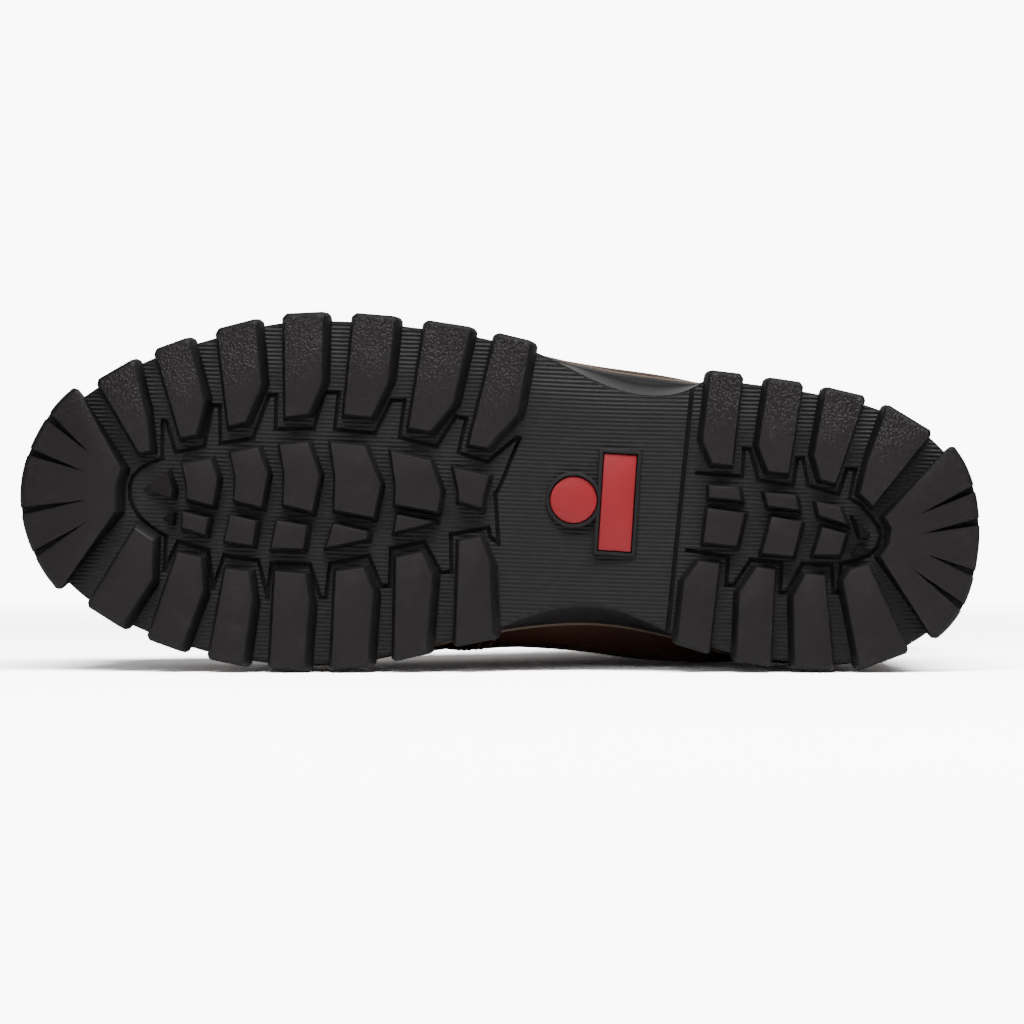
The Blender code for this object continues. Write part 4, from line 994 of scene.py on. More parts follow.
def coated(obj, *materials):
    obj.data.materials.clear()
    for material in materials:
        obj.data.materials.append(material)
    return obj


def finished(obj, slot, nodes=(), smooth=60.0):
    """Lays a piece down, shades it, sets it to ride on the root and hides the solids that it stands for.
    """
    obj.data.transform(LAID)
    only(obj)
    bpy.ops.object.shade_smooth_by_angle(angle=math.radians(smooth))
    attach(obj, "root")
    if nodes:
        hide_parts(*nodes)
    return obj


def flat(along, across):
    return Vector(((0.5 - along) * SOLE_LENGTH, across))


def lifted(corners, above, line=tread):
    """Flat corners as points above the tread or another line of the sole."""
    return [Vector((c.x, float(line(along_at(c.x))) + above, c.y)) for c in corners]


def rubbered(obj, choose):
    """Coats a body with the rubbers, each face with the one that choose names."""
    coated(obj, *RUBBERS)
    for face in obj.data.polygons:
        face.material_index = choose(face)
    return obj


def walled(obj, index):
    return rubbered(obj, lambda face: index)


def lug_finish(obj):
    # Walls get the darker wall rubber, a painted shade.
    return rubbered(obj, lambda face: FACE if face.normal.y < -LEVEL_FACE else WALL)


def sole_base():
    """The sole's body as closed sections from toe to heel."""
    low_lip = -LIP_HEIGHT
    # The side from the floor up: the line that it follows, the height above it, its share of the
    # arch's undercut, and its inset with and without the lip's step
    side_rows = (
        (base, 0.0, 1.0, 0.6 * BASE_BEVEL, 0.4 * BASE_BEVEL),
        (base, 0.6 * BASE_BEVEL, 0.94, 0.0, 0.0),
        (sole_top, -1.4 * LIP_HEIGHT, 0.42, 0.0, LIP_STEP),
        (sole_top, low_lip, 0.26, 0.0, LIP_STEP),
        (sole_top, low_lip + 0.25 * LIP_STEP, 0.22, 0.0, 0.25 * LIP_STEP),
        (sole_top, low_lip + LIP_STEP, 0.16, 0.0, 0.0),
        (sole_top, 0.0, 0.0, 0.0, 0.0),
    )

    def ring(turn, side, row):
        line, above, cut_share, inset, step = row
        cut = undercut(along_of(turn), side)
        fading = 1.0 - ramp(cut, 0.0, LIP_FADE * ARCH_UNDERCUT[side])
        at = edge_point(turn, side, inset + step * fading + cut_share * cut)
        return np.stack([at[:, 0], line(along_at(at[:, 0])) + above, at[:, 1]], axis=-1)

    def floor_row(turn, part):
        lateral, medial = ring(turn, 1, side_rows[0]), ring(turn, -1, side_rows[0])
        row = lateral + (medial - lateral) * part
        row[:, 1] = base(along_at(row[:, 0]))
        return row

    section = [(floor_row, k / FLOOR_STEPS, ()) for k in range(FLOOR_STEPS)]
    section += [(ring, -1, (row,)) for row in side_rows]
    section += [(ring, 1, (row,)) for row in reversed(side_rows[1:])]

    def at(u, v):
        index = steps_of(v, len(section)) % len(section)
        found = np.zeros((len(u), 3))
        for k, (kind, value, row) in enumerate(section):
            mask = index == k
            found[mask] = kind(math.pi * u[mask], value, *row)
        return found

    def finish_of(face):
        depth = abs(face.center.y - float(base(along_at(face.center.x))))
        return FLOOR if face.normal.y < -LEVEL_FLOOR and depth < BASE_BEVEL else SIDE

    obj = shaped_sheet("outsole_body", SOLE_STATIONS, len(section), at)
    return rubbered(welded(obj, 1e-5, closed=False), finish_of)


def moved_edges(corners, distances):
    """The polygon whose edges are moved outwards, each by its own distance."""
    area = sum(a.x * b.y - b.x * a.y for a, b in zip(corners, corners[1:] + corners[:1]))
    sign = 1 if area > 0 else -1
    lines = []
    for a, b, distance in zip(corners, corners[1:] + corners[:1], distances):
        run = (b - a).normalized()
        lines.append((a + Vector((run.y, -run.x)) * sign * distance, run))
    moved = []
    for (p, d), (q, e) in zip(lines[-1:] + lines[:-1], lines):
        turn = d.x * e.y - d.y * e.x
        parallel = abs(turn) <= 1e-6
        moved.append(q if parallel else p + d * (((q - p).x * e.y - (q - p).y * e.x) / turn))
    return moved


def toward(corner, other):
    """Where a cut corner begins on the edge to another corner."""
    return corner + (other - corner).normalized() * LUG_CORNER


def prism(name, rings):
    """A closed body through rings of corners."""
    points = np.array([[tuple(p) for p in ring] for ring in rings])
    return welded(sheet_through(name, points, ring=True))


def rounded(obj, width=EDGE_ROUNDING, angle=28.0):
    return applied(
        obj, "BEVEL", width=width, segments=2, limit_method="ANGLE",
        angle_limit=math.radians(angle), harden_normals=False,
    )


def lug(corners, drafts, outer=None):
    """A lug from its face down into the base. The edge numbered outer also climbs the sole's side."""
    def spread(part, outer_distance):
        distances = [d * part for d in drafts]
        if outer is not None:
            distances[outer] = outer_distance
            for corner, beside in ((outer - 1, outer - 2), (outer + 1, outer + 2)):
                distances[corner] = (outer_distance + distances[beside]) * math.sqrt(0.5)
        return moved_edges(corners, distances)

    rings = [lifted(spread(0.0, -LUG_SHOULDER), 0.0), lifted(spread(SHOULDER_DRAFT, 0.0), LUG_SHOULDER)]
    if outer is None:
        rings.append(lifted(spread(1.0, 0.0), LUG_HEIGHT + ROOT))
    else:
        rings.append(lifted(spread(FLOOR_DRAFT, 0.0), LUG_HEIGHT))
        rings.append(lifted(spread(1.0, -LUG_OVERHANG - ROOT), LUG_SIDE_REACH))
    return lug_finish(rounded(prism("lug", rings)))


def wedge(row):
    """A small lug whose face falls from its full height to the floor at its tip."""
    high, low, drafts, places = row
    corners = [flat(along, across / 1000) for along, across in places]

    def face(along):
        return tread(along) + LUG_HEIGHT * share(along, high, low)

    rings = [lifted(corners, 0.0, face), lifted(moved_edges(corners, drafts), LUG_HEIGHT + ROOT)]
    return lug_finish(prism("wedge", rings))


def outer_corner(along, side):
    """A place on the lugs' outer edge."""
    return flat(along, float(edge_point(turn_of(along), side, -LUG_OVERHANG)[..., 1]))


def side_lug(row, side, width, drafts):
    far, near, knee, knee_across, near_in, near_across, far_in, far_across = row
    outer_far, outer_near = outer_corner(far, side), outer_corner(near, side)
    knee_place = flat(knee, knee_across * width)
    inner_far = flat(far_in, far_across * width)
    corners = [
        toward(outer_far, outer_near),
        toward(outer_near, outer_far),
        toward(outer_near, knee_place),
        knee_place,
        flat(near_in, near_across * width),
        inner_far,
        toward(outer_far, inner_far),
    ]
    return lug(corners, [0.0, 0.0, *drafts, 0.0], outer=0)


def chevron(row):
    front, back, top_front, top_back, point, point_across, foot, foot_across, notch_across = row
    notch = front - CHEVRON_NOTCH
    shares = (
        (front, top_front), (back, top_back), (point, point_across), (foot, foot_across),
        (notch, foot_across + CHEVRON_FOOT_RISE), (notch, notch_across),
    )
    return lug([flat(a, w * BALL_WIDTH) for a, w in shares], CHEVRON_DRAFTS)


def block_lug(row, width):
    front, back, top_front, top_back, low_back, back_across, low_front, front_across = row
    shares = ((front, top_front), (back, top_back), (low_back, back_across), (low_front, front_across))
    return lug([flat(a, w * width) for a, w in shares], BLOCK_DRAFTS)


def end_block(inner, width, end, size):
    """The wide lug round the toe or the heel, its two points cut off."""
    stand = LUG_OVERHANG + size[0]
    draft = size[1] if end == TOE_TURN else -size[1]
    start = float(turn_of(inner[0][0]))
    stop = float(turn_of(inner[-1][0]))
    rim = [(start + (end - start) * k / RIM_STEPS, 1) for k in range(RIM_STEPS)]
    rim += [(end + (stop - end) * k / RIM_STEPS, -1) for k in range(RIM_STEPS + 1)]

    def ring(rim_inset, drafted, above):
        outer = [Vector(edge_point(np.array([turn]), side, rim_inset)[0]) for turn, side in rim]
        inside = [flat(a, w * width) + Vector((drafted * draft, 0.0)) for a, w in reversed(inner)][1:-1]
        last, first = outer[-1], outer[0]
        corners = [toward(first, outer[1]), *outer[1:-1], toward(last, outer[-2])]
        return lifted([*corners, toward(last, inside[0]), *inside, toward(first, inside[-1])], above)

    rings = [
        ring(LUG_SHOULDER - stand, 0.0, 0.0),
        ring(-stand, SHOULDER_DRAFT, LUG_SHOULDER),
        ring(-stand, 1.0, LUG_HEIGHT),
        ring(ROOT, 1.0, LUG_SIDE_REACH),
    ]
    return lug_finish(rounded(prism("end_block", rings)))


def sipe_cutter(row, width):
    rim, rim_across, tip, tip_across = row
    outside = flat(rim, rim_across * width)
    inside = flat(tip, tip_across * width)
    run = (outside - inside).normalized()
    aside = Vector((-run.y, run.x)) * SIPE_WIDTH / 2
    corners = [outside + aside + run * ROOT, outside - aside + run * ROOT, inside]
    return walled(prism("sipe", [lifted(corners, -2 * ROOT), lifted(corners, SIPE_DEPTH)]), WALL)


def groove_cutter(line, width, depth):
    """A thin bar that follows a bent line over the floor between the lugs."""
    pieces = []
    for a, b in zip(line, line[1:]):
        run = (b - a).normalized()
        aside = Vector((-run.y, run.x)) * width / 2
        a, b = a - run * width / 2, b + run * width / 2
        steps = max(1, round((b - a).length / GROOVE_STEP))
        for k in range(steps):
            c, d = a.lerp(b, k / steps), a.lerp(b, (k + 1) / steps)
            corners = [c + aside, c - aside, d - aside, d + aside]
            pieces.append(prism("groove", [lifted(corners, -ROOT, base), lifted(corners, depth, base)]))
    # Grooves get the darkest rubber, a painted shade.
    return walled(merged(pieces), GROOVE)


def inlay_body(name, kind, margin, low, high):
    """The arch's bar or disc with a margin round it, between two heights from the floor there."""
    along, across = INLAY_PLACES[kind]
    floor = float(base(along))
    low, high = floor + low, floor + high
    if kind == "bar":
        bpy.ops.mesh.primitive_cube_add(size=1.0)
        size = (BAR_SIZE[0] + margin, high - low, BAR_SIZE[1] + margin, 1.0)
        form = Matrix.Rotation(BAR_LEAN, 4, "Y") @ Matrix.Diagonal(size)
    else:
        radius = (DISC_DIAMETER + margin) / 2
        bpy.ops.mesh.primitive_cylinder_add(vertices=DISC_SIDES, radius=radius, depth=high - low)
        form = Matrix.Rotation(math.pi / 2, 4, "X")
    obj = named(name)
    centre = Vector(((0.5 - along) * SOLE_LENGTH, (low + high) / 2, across * BALL_WIDTH))
    obj.data.transform(Matrix.Translation(centre) @ form)
    return obj


def outsole():
    obj = sole_base()
    grooves = [groove_cutter([flat(a, w / 1000) for a, w in line], GROOVE_WIDTH, GROOVE_DEPTH)
               for line in GROOVES]
    breast = [flat(a, w * HEEL_WIDTH) for a, w in BREAST_ENDS]
    grooves.append(groove_cutter(breast, BREAST_GROOVE_WIDTH, BREAST_GROOVE_DEPTH))
    combined(obj, merged(grooves), "DIFFERENCE")
    lugs = []
    for rows, side, width, drafts in (
        (LATERAL_LUGS, 1, BALL_WIDTH, FOREFOOT_DRAFTS),
        (MEDIAL_LUGS[:1], -1, BALL_WIDTH, FACET_DRAFTS),
        (MEDIAL_LUGS[1:], -1, BALL_WIDTH, FOREFOOT_DRAFTS),
        (HEEL_LATERAL_LUGS, 1, HEEL_WIDTH, HEEL_DRAFTS),
        (HEEL_MEDIAL_LUGS, -1, HEEL_WIDTH, HEEL_DRAFTS),
    ):
        lugs += [side_lug(row, side, width, drafts) for row in rows]
    lugs += [chevron(row) for row in CHEVRONS]
    lugs += [block_lug(row, BALL_WIDTH) for row in FOREFOOT_BLOCKS]
    lugs += [block_lug(row, HEEL_WIDTH) for row in HEEL_BLOCKS]
    lugs += [wedge(row) for row in WEDGES]
    lugs.append(end_block(TOE_BLOCK_INNER, BALL_WIDTH, TOE_TURN, TOE_BLOCK))
    lugs.append(end_block(HEEL_BLOCK_INNER, HEEL_WIDTH, HEEL_TURN, HEEL_BLOCK))
    for kind in INLAY_PLACES:
        border = inlay_body(kind + "_frame", kind, 2 * FRAME_WALL, -FRAME_HEIGHT, ROOT)
        lugs.append(walled(rounded(border), SIDE))
    combined(obj, merged(lugs), "UNION")
    cuts = [sipe_cutter(row, BALL_WIDTH) for row in TOE_SIPES]
    cuts += [sipe_cutter(row, HEEL_WIDTH) for row in HEEL_SIPES]
    cuts += [walled(inlay_body(kind + "_seat", kind, 2 * GAP, -2 * FRAME_HEIGHT, GAP), WALL)
             for kind in INLAY_PLACES]
    combined(obj, merged(cuts), "DIFFERENCE")
    obj.name = "lugged_outsole"
    mark_lateral_edge(obj)
    finished(obj, "rubber", ["outsole"], smooth=30.0)


def mark_lateral_edge(obj):
    """Keeps on each corner how near it is to the sole's lateral edge, for the pebbled zone."""
    points = corners_of(obj)
    along = np.clip(along_at(points[:, 0]), 0.01, 0.99)
    reach = edge_point(turn_of(along), 1)[:, 1]
    near = ramp(points[:, 2] - reach, -PEBBLED_WIDTH, -PEBBLED_FULL * PEBBLED_WIDTH)
    at_ends = ramp(along, *SMOOTH_TOE) + 1.0 - ramp(along, *SMOOTH_HEEL)
    near *= 1.0 - PEBBLED_LOSS * at_ends
    obj.data.attributes.new("lateral_edge", "FLOAT", "POINT").data.foreach_set("value", near)


def inlays(finish):
    for kind in INLAY_PLACES:
        obj = rounded(inlay_body("red_" + kind, kind, 0.0, -INLAY_THICKNESS, 0.0))
        finished(coated(obj, finish), "red_rubber", ["arch_" + kind], smooth=40.0)


def sole_loop(count, inset, above):
    """Points above the sole's top, lateral side first, at even steps of the edge's length."""
    turns = np.linspace(0, 2 * math.pi, LOOP_PROBES + 1)[:-1]
    lateral = turns <= math.pi
    folded = np.where(lateral, turns, 2 * math.pi - turns)
    edge = np.where(lateral[:, None], edge_point(folded, 1, inset), edge_point(folded, -1, inset))
    closed = np.vstack([edge, edge[:1]])
    length = lengths(closed)
    x, across = resampled(closed, length, np.linspace(0, length[-1], count, endpoint=False)).T
    return np.stack([x, sole_top(along_at(x)) + above, across], axis=-1)


def welt(finish):
    """The band that the upper is stitched to, with a rounded rim and a stitch channel."""
    inner = WELT_WIDTH + UPPER_WALL + GAP
    low = GAP
    high = GAP + WELT_THICKNESS
    middle = 0.5 * WELT_WIDTH
    section = (
        (WELT_ROUNDING, low), (-WELT_STAND, low + WELT_ROUNDING),
        (-WELT_STAND, high - WELT_ROUNDING), (WELT_ROUNDING - WELT_STAND, high),
        (middle - CHANNEL_HALF, high), (middle, high - CHANNEL_DEPTH), (middle + CHANNEL_HALF, high),
        (WELT_WIDTH - GAP, high), (inner, high), (inner, low),
    )
    loops = np.array([sole_loop(WELT_STATIONS, inset, above) for inset, above in section])
    obj = welded(sheet_through("stitched_welt", loops, ring=True, tube=True), closed=False)
    finished(coated(obj, finish), "welt_leather", ["welt"], smooth=50.0)


def stitch_rows(name, rows, length, thickness, material, slot):
    """Many small rounded stitches. Each row is an array of places and one of outward directions."""
    bpy.ops.mesh.primitive_uv_sphere_add(segments=6, ring_count=5, radius=0.5)
    model = bpy.context.object
    shape = corners_of(model)
    faces = [tuple(face.vertices) for face in model.data.polygons]
    bpy.data.objects.remove(model, do_unlink=True)
    points = []
    polygons = []
    for places, normals in rows:
        for at, run, normal in zip(places, np.diff(places, axis=0), normals):
            head = unit(run)
            aside = unit(np.cross(normal, head))
            body = (
                np.outer(shape[:, 2] * length, head)
                + np.outer(shape[:, 0] * thickness, aside)
                + np.outer(shape[:, 1] * thickness * STITCH_FLATNESS, np.cross(head, aside))
            )
            start = len(points) * len(shape)
            points.append(body + at + run / 2)
            polygons += [tuple(i + start for i in face) for face in faces]
    mesh = bpy.data.meshes.new(name)
    mesh.from_pydata(np.vstack(points).tolist(), [], polygons)
    finished(coated(linked(name, mesh), material), slot, smooth=70.0)


def spaced(points, normals, pitch):
    """Places and directions along a path at an even pitch."""
    length = lengths(points)
    at = np.linspace(0.0, length[-1], max(2, round(length[-1] / pitch) + 1))
    return resampled(points, length, at), unit(resampled(normals, length, at))


def upper(leather_finish, lining):
    """The hollow leather shell, its inside lined."""
    obj = shaped_sheet("leather_upper", *UPPER_GRID, lambda u, v: raised(2 * u - 1, v, 0.0))
    welded(obj, closed=False)
    facing_out(obj, 0.5, 0.4)
    thickened(coated(obj, leather_finish, lining), UPPER_WALL, material_offset=1, material_offset_rim=0)
    finished(obj, "brown_leather", ["upper"])


def facing_out(obj, around, rise):
    """Turns a sheet on the upper so that its front looks out of the boot."""
    return faced(obj, upper_points(around, rise)[0], upper_normals(around, rise)[0])


def bounds_of(form, at_heel):
    """From where to where an overlay lies round the upper, and its lowest and highest rise."""
    reach, bottom, top = form
    return (reach, 2 - reach, bottom, top) if at_heel else (-reach, reach, bottom, top)


def overlay(name, node, form, at_heel, finish, gap=GAP, thickness=OVERLAY_THICKNESS, swell=0.0):
    """A layer on the upper between two places round it and two rises, its rim turned down."""
    low, high, bottom, top = bounds_of(form, at_heel)
    columns = max(8, round((high - low) * OVERLAY_COLUMNS))
    rows = max(8, round((top - bottom) * OVERLAY_ROWS))

    def at(u, v):
        around = low + (high - low) * u
        rise = bottom + (top - bottom) * v
        rim = np.minimum(np.minimum(u * columns, (1 - u) * columns), np.minimum(v, 1 - v) * rows) < 0.5
        puff = swell * np.sin(math.pi * np.clip(v, 0, 1)) ** 0.6
        return raised(around, rise, gap + thickness + puff - RIM_DROP * thickness * rim)

    obj = facing_out(shaped_sheet(name, columns, rows, at), (low + high) / 2, (bottom + top) / 2)
    thickened(coated(obj, finish), thickness * OVERLAY_FILL)
    return finished(obj, "dark_leather", [node])


def overlays(finish):
    overlay("toe_cap_leather", "toe_cap", TOE_CAP, False, finish)
    overlay("heel_counter_leather", "heel_counter", COUNTER, True, finish)
    overlay("eyestay_leather", "eyestay", EYESTAY, False, finish)
    cuff = overlay("padded_cuff", "collar_cuff", CUFF, True, finish, CUFF_GAP, CUFF_PADDING, CUFF_SWELL)


def tongue(finish):
    depth = -(UPPER_WALL + TONGUE_GAP)
    rises = np.array(TONGUE_RISES)
    columns = TONGUE_COLUMNS
    middle = columns // 2

    def section(a):
        medial = raised([-a] * len(rises), rises, depth, creased=False)
        lateral = raised([a] * len(rises), rises[::-1], depth, creased=False)
        up = unit(upper_normals(a, 1.0)[0] + upper_normals(-a, 1.0)[0])
        part = np.array((0.25, 0.5, 0.75))[:, None]
        crown = TONGUE_CROWN * min(a * CROWN_GROWTH, 1.0) * np.sin(math.pi * part)
        bridge = medial[-1] + (lateral[0] - medial[-1]) * part + up * crown
        line = np.vstack([medial, bridge, lateral])
        knots = np.linspace(0, 1, len(line))
        fine = np.linspace(0, 1, columns + 1)
        return np.stack([spline(knots, column, fine) for column in line.T], axis=-1)

    sections = [section(EYESTAY[0] * k / TONGUE_STATIONS) for k in range(TONGUE_STATIONS + 1)]
    last = sections[-1]
    centre = last[middle]
    run = unit(centre - sections[-2][middle])
    for part in (0.2, 0.4, 0.6, 0.8, 1.0):
        narrowed = last * (1 - TONGUE_TAPER * part) + centre * TONGUE_TAPER * part
        sections.append(narrowed + run * TONGUE_STAND * part)
    obj = sheet_through("padded_tongue", np.array(sections).transpose(1, 0, 2))
    welded(obj, 2e-5, closed=False)
    faced(obj, sections[TONGUE_STATIONS // 2][middle], upper_normals(0.0, 0.98)[0])
    thickened(coated(obj, finish), TONGUE_THICKNESS)
    finished(obj, "brown_leather", ["tongue"])


def eyelets(finish):
    rings = []
    nodes = []
    for node, around, centre in eyelet_spots():
        bpy.ops.mesh.primitive_torus_add(
            major_radius=EYELET_RADIUS, minor_radius=EYELET_WIRE, major_segments=32, minor_segments=10
        )
        obj = bpy.context.object
        normal = Vector(upper_normals(around, EYELET_RISE)[0])
        turn = Vector((0.0, 0.0, 1.0)).rotation_difference(normal).to_matrix().to_4x4()
        obj.data.transform(Matrix.Translation(Vector(centre)) @ turn)
        rings.append(obj)
        nodes.append(node)
    obj = merged(rings)
    obj.name = "lace_eyelets"
    finished(coated(obj, finish), "eyelet_metal", nodes, smooth=80.0)


def cord_through(name, route):
    """A round cord on a smooth line through places, with a UV map in metres."""
    radius = LACE_DIAMETER / 2
    route = np.array(route)
    last = len(route) - 1
    fine = np.linspace(0, last, last * 10 + 1)
    line = np.stack([spline(np.arange(last + 1.0), column, fine) for column in route.T], axis=-1)
    length = lengths(line)
    count = max(8, round(length[-1] / LACE_STEP))
    line = resampled(line, length, np.linspace(0, length[-1], count + 1))
    heads = unit(np.gradient(line, axis=0))
    normal = unit(np.cross(heads[0], (0.0, 1.0, 0.3)))
    frames = []
    for head in heads:
        normal = unit(normal - head * np.dot(normal, head))
        frames.append((normal, np.cross(head, normal)))
    frames = np.array(frames)

    def at(u, v):
        station = steps_of(u, count)
        angle = (2 * math.pi * v)[:, None]
        around = frames[station, 0] * np.cos(angle) + frames[station, 1] * np.sin(angle)
        return line[station] + around * radius

    obj = shaped_sheet(name, count, LACE_SIDES, at)
    measured(obj, length[-1], 2 * math.pi * radius)
    return welded(obj)


def lace(finish):
    """Both ends of the lace, crossing from pair to pair of eyelets."""
    over_edge = SEAT + LACE_GAP + LACE_DIAMETER / 2
    over_ring = over_edge + 2 * EYELET_WIRE
    in_hole = SEAT + EYELET_WIRE
    up = upper_normals(0.0, 1.0)[0]
    half_way = (EYELET_RISE + LACE_EDGE_RISE) / 2

    def hole(around):
        """From the hole out to where the lace leaves the ring."""
        return [
            spot(around, EYELET_RISE, in_hole - LACE_DEPTH),
            spot(around, EYELET_RISE, over_ring - LACE_SINK),
            spot(around, half_way, over_ring),
        ]

    def crossing(a, b, side, lift):
        start = spot(side * (a + (b - a) * LACE_TURN), LACE_EDGE_RISE, over_edge)
        end = spot(-side * (b - (b - a) * LACE_TURN), LACE_EDGE_RISE, over_edge)
        middle = (start + end) / 2 + up * lift
        return [*hole(side * a), start, middle, end, *reversed(hole(-side * b))]

    routes = []
    for k, (a, b) in enumerate(zip(EYELET_PLACES, EYELET_PLACES[1:])):
        for side in (1, -1):
            over, under = LACE_LIFTS
            on_top = side == (1 if k % 2 == 0 else -1)
            lift = TONGUE_CROWN + (over if on_top else under) * LACE_DIAMETER
            routes.append(crossing(a, b, side, lift))
    routes.append(crossing(EYELET_PLACES[0], EYELET_PLACES[0], 1, LACE_FIRST_LIFT))
    obj = merged([cord_through("lace_run", route) for route in routes])
    obj.name = "braided_lace"
    finished(coated(obj, finish), "lace_fabric", ["lace"], smooth=80.0)


def pull_loop(finish):
    outside = CUFF_GAP + CUFF_THICKNESS + LOOP_GAP + LOOP_THICKNESS / 2
    inside = -(UPPER_WALL + LOOP_GAP + LOOP_THICKNESS / 2)
    over, under = spot(1.0, 1.0, outside), spot(1.0, 1.0, inside)
    up = unit(spot(1.0, 1.0, 0.0) - spot(1.0, 1.0 - PROBE, 0.0))
    half = (over - under) / 2
    reach = np.linalg.norm(half)
    centre = (over + under) / 2 + up * (LOOP_HEIGHT - reach)
    route = [spot(1.0, rise, outside) for rise in np.linspace(LOOP_FOOT, 1.0, 8)]
    for angle in np.linspace(0, math.pi, 24):
        route.append(centre + half * math.cos(angle) + up * reach * math.sin(angle))
    route = np.array([*route, under])

    def at(u, v):
        across = np.outer((v - 0.5) * LOOP_WIDTH, (0.0, 0.0, 1.0))
        return route[steps_of(u, len(route) - 1)] + across

    obj = shaped_sheet("webbing_loop", len(route) - 1, 8, at)
    measured(obj, lengths(route)[-1], LOOP_WIDTH)
    coated(obj, finish)
    applied(obj, "SOLIDIFY", thickness=LOOP_THICKNESS, offset=0.0, use_even_offset=True)
    finished(rounded(obj, LOOP_EDGE, 50.0), "webbing", ["pull_loop"])


def stitching(thread):
    on_overlay = GAP + OVERLAY_THICKNESS + THREAD_STAND
    loop = sole_loop(720, 0.5 * WELT_WIDTH, GAP + WELT_THICKNESS + THREAD_STAND)
    loop = np.vstack([loop, loop[:1]])
    row = spaced(loop, np.tile((0.0, 1.0, 0.0), (len(loop), 1)), WELT_STITCH_PITCH)
    stitch_rows("welt_stitching", [row], *WELT_STITCH, thread, "welt_leather")
    rows = []

    def sew(around, rise, distance=on_overlay):
        """Adds a stitch row over the upper through places round it and rises."""
        around, rise = np.broadcast_arrays(np.asarray(around, float), np.asarray(rise, float))
        rows.append(spaced(raised(around, rise, distance), upper_normals(around, rise), STITCH_PITCH))

    low, high, bottom, top = bounds_of(TOE_CAP, False)
    for inset in CAP_ROWS:
        sew(np.linspace(low + CAP_ENDS, high - CAP_ENDS, 240), top - inset)
    low, high, bottom, top = bounds_of(COUNTER, True)
    for inset, aside in COUNTER_ROWS:
        sew(np.linspace(low + COUNTER_ENDS, high - COUNTER_ENDS, 240), top - inset)
        for around in (low + aside, high - aside):
            sew(around, np.linspace(bottom + COUNTER_RISE[0], top - COUNTER_RISE[1], 60))
    low, high, bottom, top = bounds_of(EYESTAY, False)
    for rise in (*(bottom + inset for inset in EYESTAY_ROWS), top - EYESTAY_TOP_ROW):
        sew(np.linspace(low + EYESTAY_ENDS, high - EYESTAY_ENDS, 400), rise)
    rise = np.linspace(*QUARTER_RISE, 90)
    for inset in QUARTER_ROWS:
        for side in (1, -1):
            sew(side * (quarter_seam(rise) + inset), rise, THREAD_STAND)
    stitch_rows("upper_stitching", rows, *UPPER_STITCH, thread, "lace_fabric")


def glowing(name, strength):
    finish = Finish(name)
    return finish.end_in(finish.node("ShaderNodeEmission", {}, {"Strength": strength}).outputs[0])


def by_camera(finish, seen, lighting):
    """One amount where the paper itself is in the picture and another for what it lights."""
    ray = finish.node("ShaderNodeLightPath", {}, {}).outputs["Is Camera Ray"]
    sockets = {"Value": ray, "To Min": lighting, "To Max": seen}
    return finish.amount("ShaderNodeMapRange", {}, sockets, "Result")


def paper():
    """White paper that fades into the air behind it where the camera sees it far away."""
    finish = Finish("studio_paper")
    surface = finish.node("ShaderNodeBsdfDiffuse", {}, {"Color": by_camera(finish, PAPER_SEEN, PAPER_LIT)})
    white = finish.node("ShaderNodeEmission", {}, {"Strength": AIR_SEEN})
    place = finish.coordinates("Object")
    reach = finish.amount("ShaderNodeVectorMath", {"operation": "LENGTH"}, {0: place}, "Value")
    far = reach.smooth(*PAPER_FADE) * by_camera(finish, 1.0, 0.0)
    shaders = {0: far, 1: surface.outputs[0], 2: white.outputs[0]}
    return finish.end_in(finish.node("ShaderNodeMixShader", {}, shaders).outputs[0])


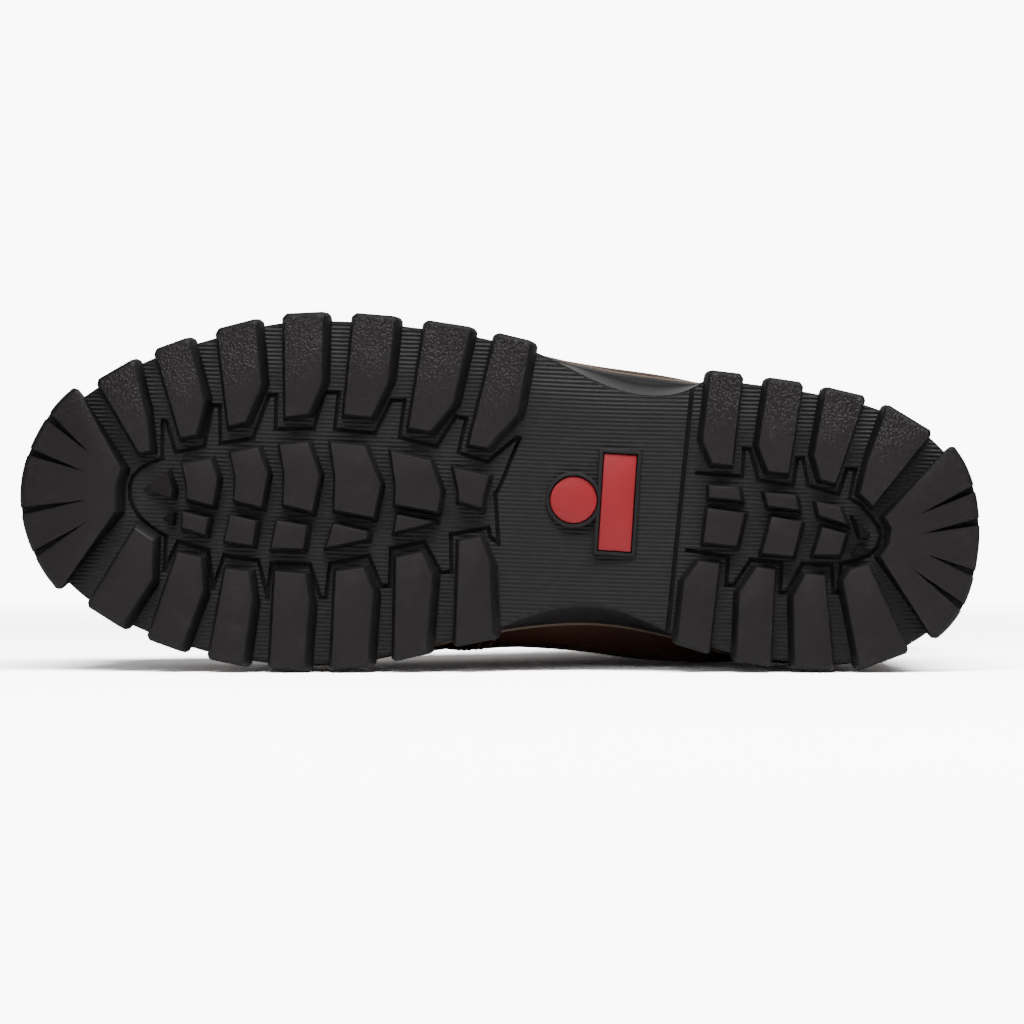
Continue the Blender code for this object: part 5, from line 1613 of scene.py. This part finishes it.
def studio():
    """White paper under and behind the boot, a broad light above it and a weak one in front."""
    bpy.ops.mesh.primitive_plane_add(size=FLOOR_SIZE, location=(0.0, 0.0, 0.0))
    coated(named("studio_floor"), paper())
    bpy.ops.mesh.primitive_uv_sphere_add(segments=48, ring_count=24, radius=BACKDROP_RADIUS)
    backdrop = coated(named("studio_backdrop"), glowing("studio_white", AIR_SEEN))
    backdrop.visible_glossy = False
    bpy.ops.mesh.primitive_plane_add(size=1.0)
    card = coated(named("studio_card"), glowing("studio_card_white", CARD_GLOW))
    stand = Matrix.Translation(CARD_PLACE) @ Matrix.Rotation(math.pi / 2, 4, "X")
    card.data.transform(stand @ Matrix.Diagonal(CARD_SIZE))
    card.visible_camera = False
    for obj in (backdrop, card):
        obj.visible_diffuse = False
        obj.visible_transmission = False
        obj.visible_shadow = False
    world = bpy.data.worlds.new("studio_air")
    bpy.context.scene.world = world
    world.use_nodes = True
    background = world.node_tree.nodes["Background"]
    background.inputs["Color"].default_value = (1.0, 1.0, 1.0, 1.0)
    background.inputs["Strength"].default_value = AIR_LIT
    for name, place, wide, deep, power in LIGHTS:
        light = bpy.data.lights.new(name, "AREA")
        light.shape = "RECTANGLE"
        light.size = wide
        light.size_y = deep
        light.energy = power
        obj = linked(name, light)
        obj.location = place
        obj.rotation_euler = (LIGHT_AIM - Vector(place)).to_track_quat("-Z", "Y").to_euler()


def camera():
    lens = bpy.data.cameras.new("camera")
    lens.sensor_width = SENSOR_WIDTH
    lens.lens = SENSOR_WIDTH * CAMERA_DISTANCE / FRAME_WIDTH
    lens.clip_end = 100.0
    obj = linked("camera", lens)
    obj.location = (CAMERA_ASIDE, TREAD_Y - CAMERA_DISTANCE, CAMERA_HEIGHT)
    obj.rotation_euler = (math.radians(90.0), 0.0, 0.0)
    bpy.context.scene.camera = obj


def main():
    camera()
    studio()
    outsole()
    inlays(plain("red_moulding", (0.25, 0.0010, 0.0060), 0.50))
    # The brown leather is its own dark reddish brown, made darker still as a painted shade for the leather
    # in shadow under the arch.
    brown = leather("brown_leather_upper", (0.0190, 0.0052, 0.0027), (0.043, 0.0142, 0.0066))
    dark = leather("dark_leather_trim", (0.0095, 0.0040, 0.0026), (0.022, 0.0098, 0.0056))
    edge = leather("welt_edge", (0.080, 0.052, 0.033), (0.125, 0.086, 0.058), roughness=0.58)
    lining = woven("lining_knit", (0.045, 0.030, 0.020), (0.095, 0.068, 0.046), 0.0016, along_uv=False)
    welt(edge)
    upper(brown, lining)
    overlays(dark)
    tongue(brown)
    eyelets(metal("antique_metal", (0.30, 0.24, 0.17)))
    lace(woven("lace_braid", (0.022, 0.012, 0.006), (0.13, 0.072, 0.032), 0.0016))
    pull_loop(woven("loop_webbing", (0.030, 0.022, 0.016), (0.085, 0.062, 0.045), 0.0014))
    stitching(plain("thread", (0.23, 0.135, 0.058), 0.75))
    coated(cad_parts["insole"], lining)


main()
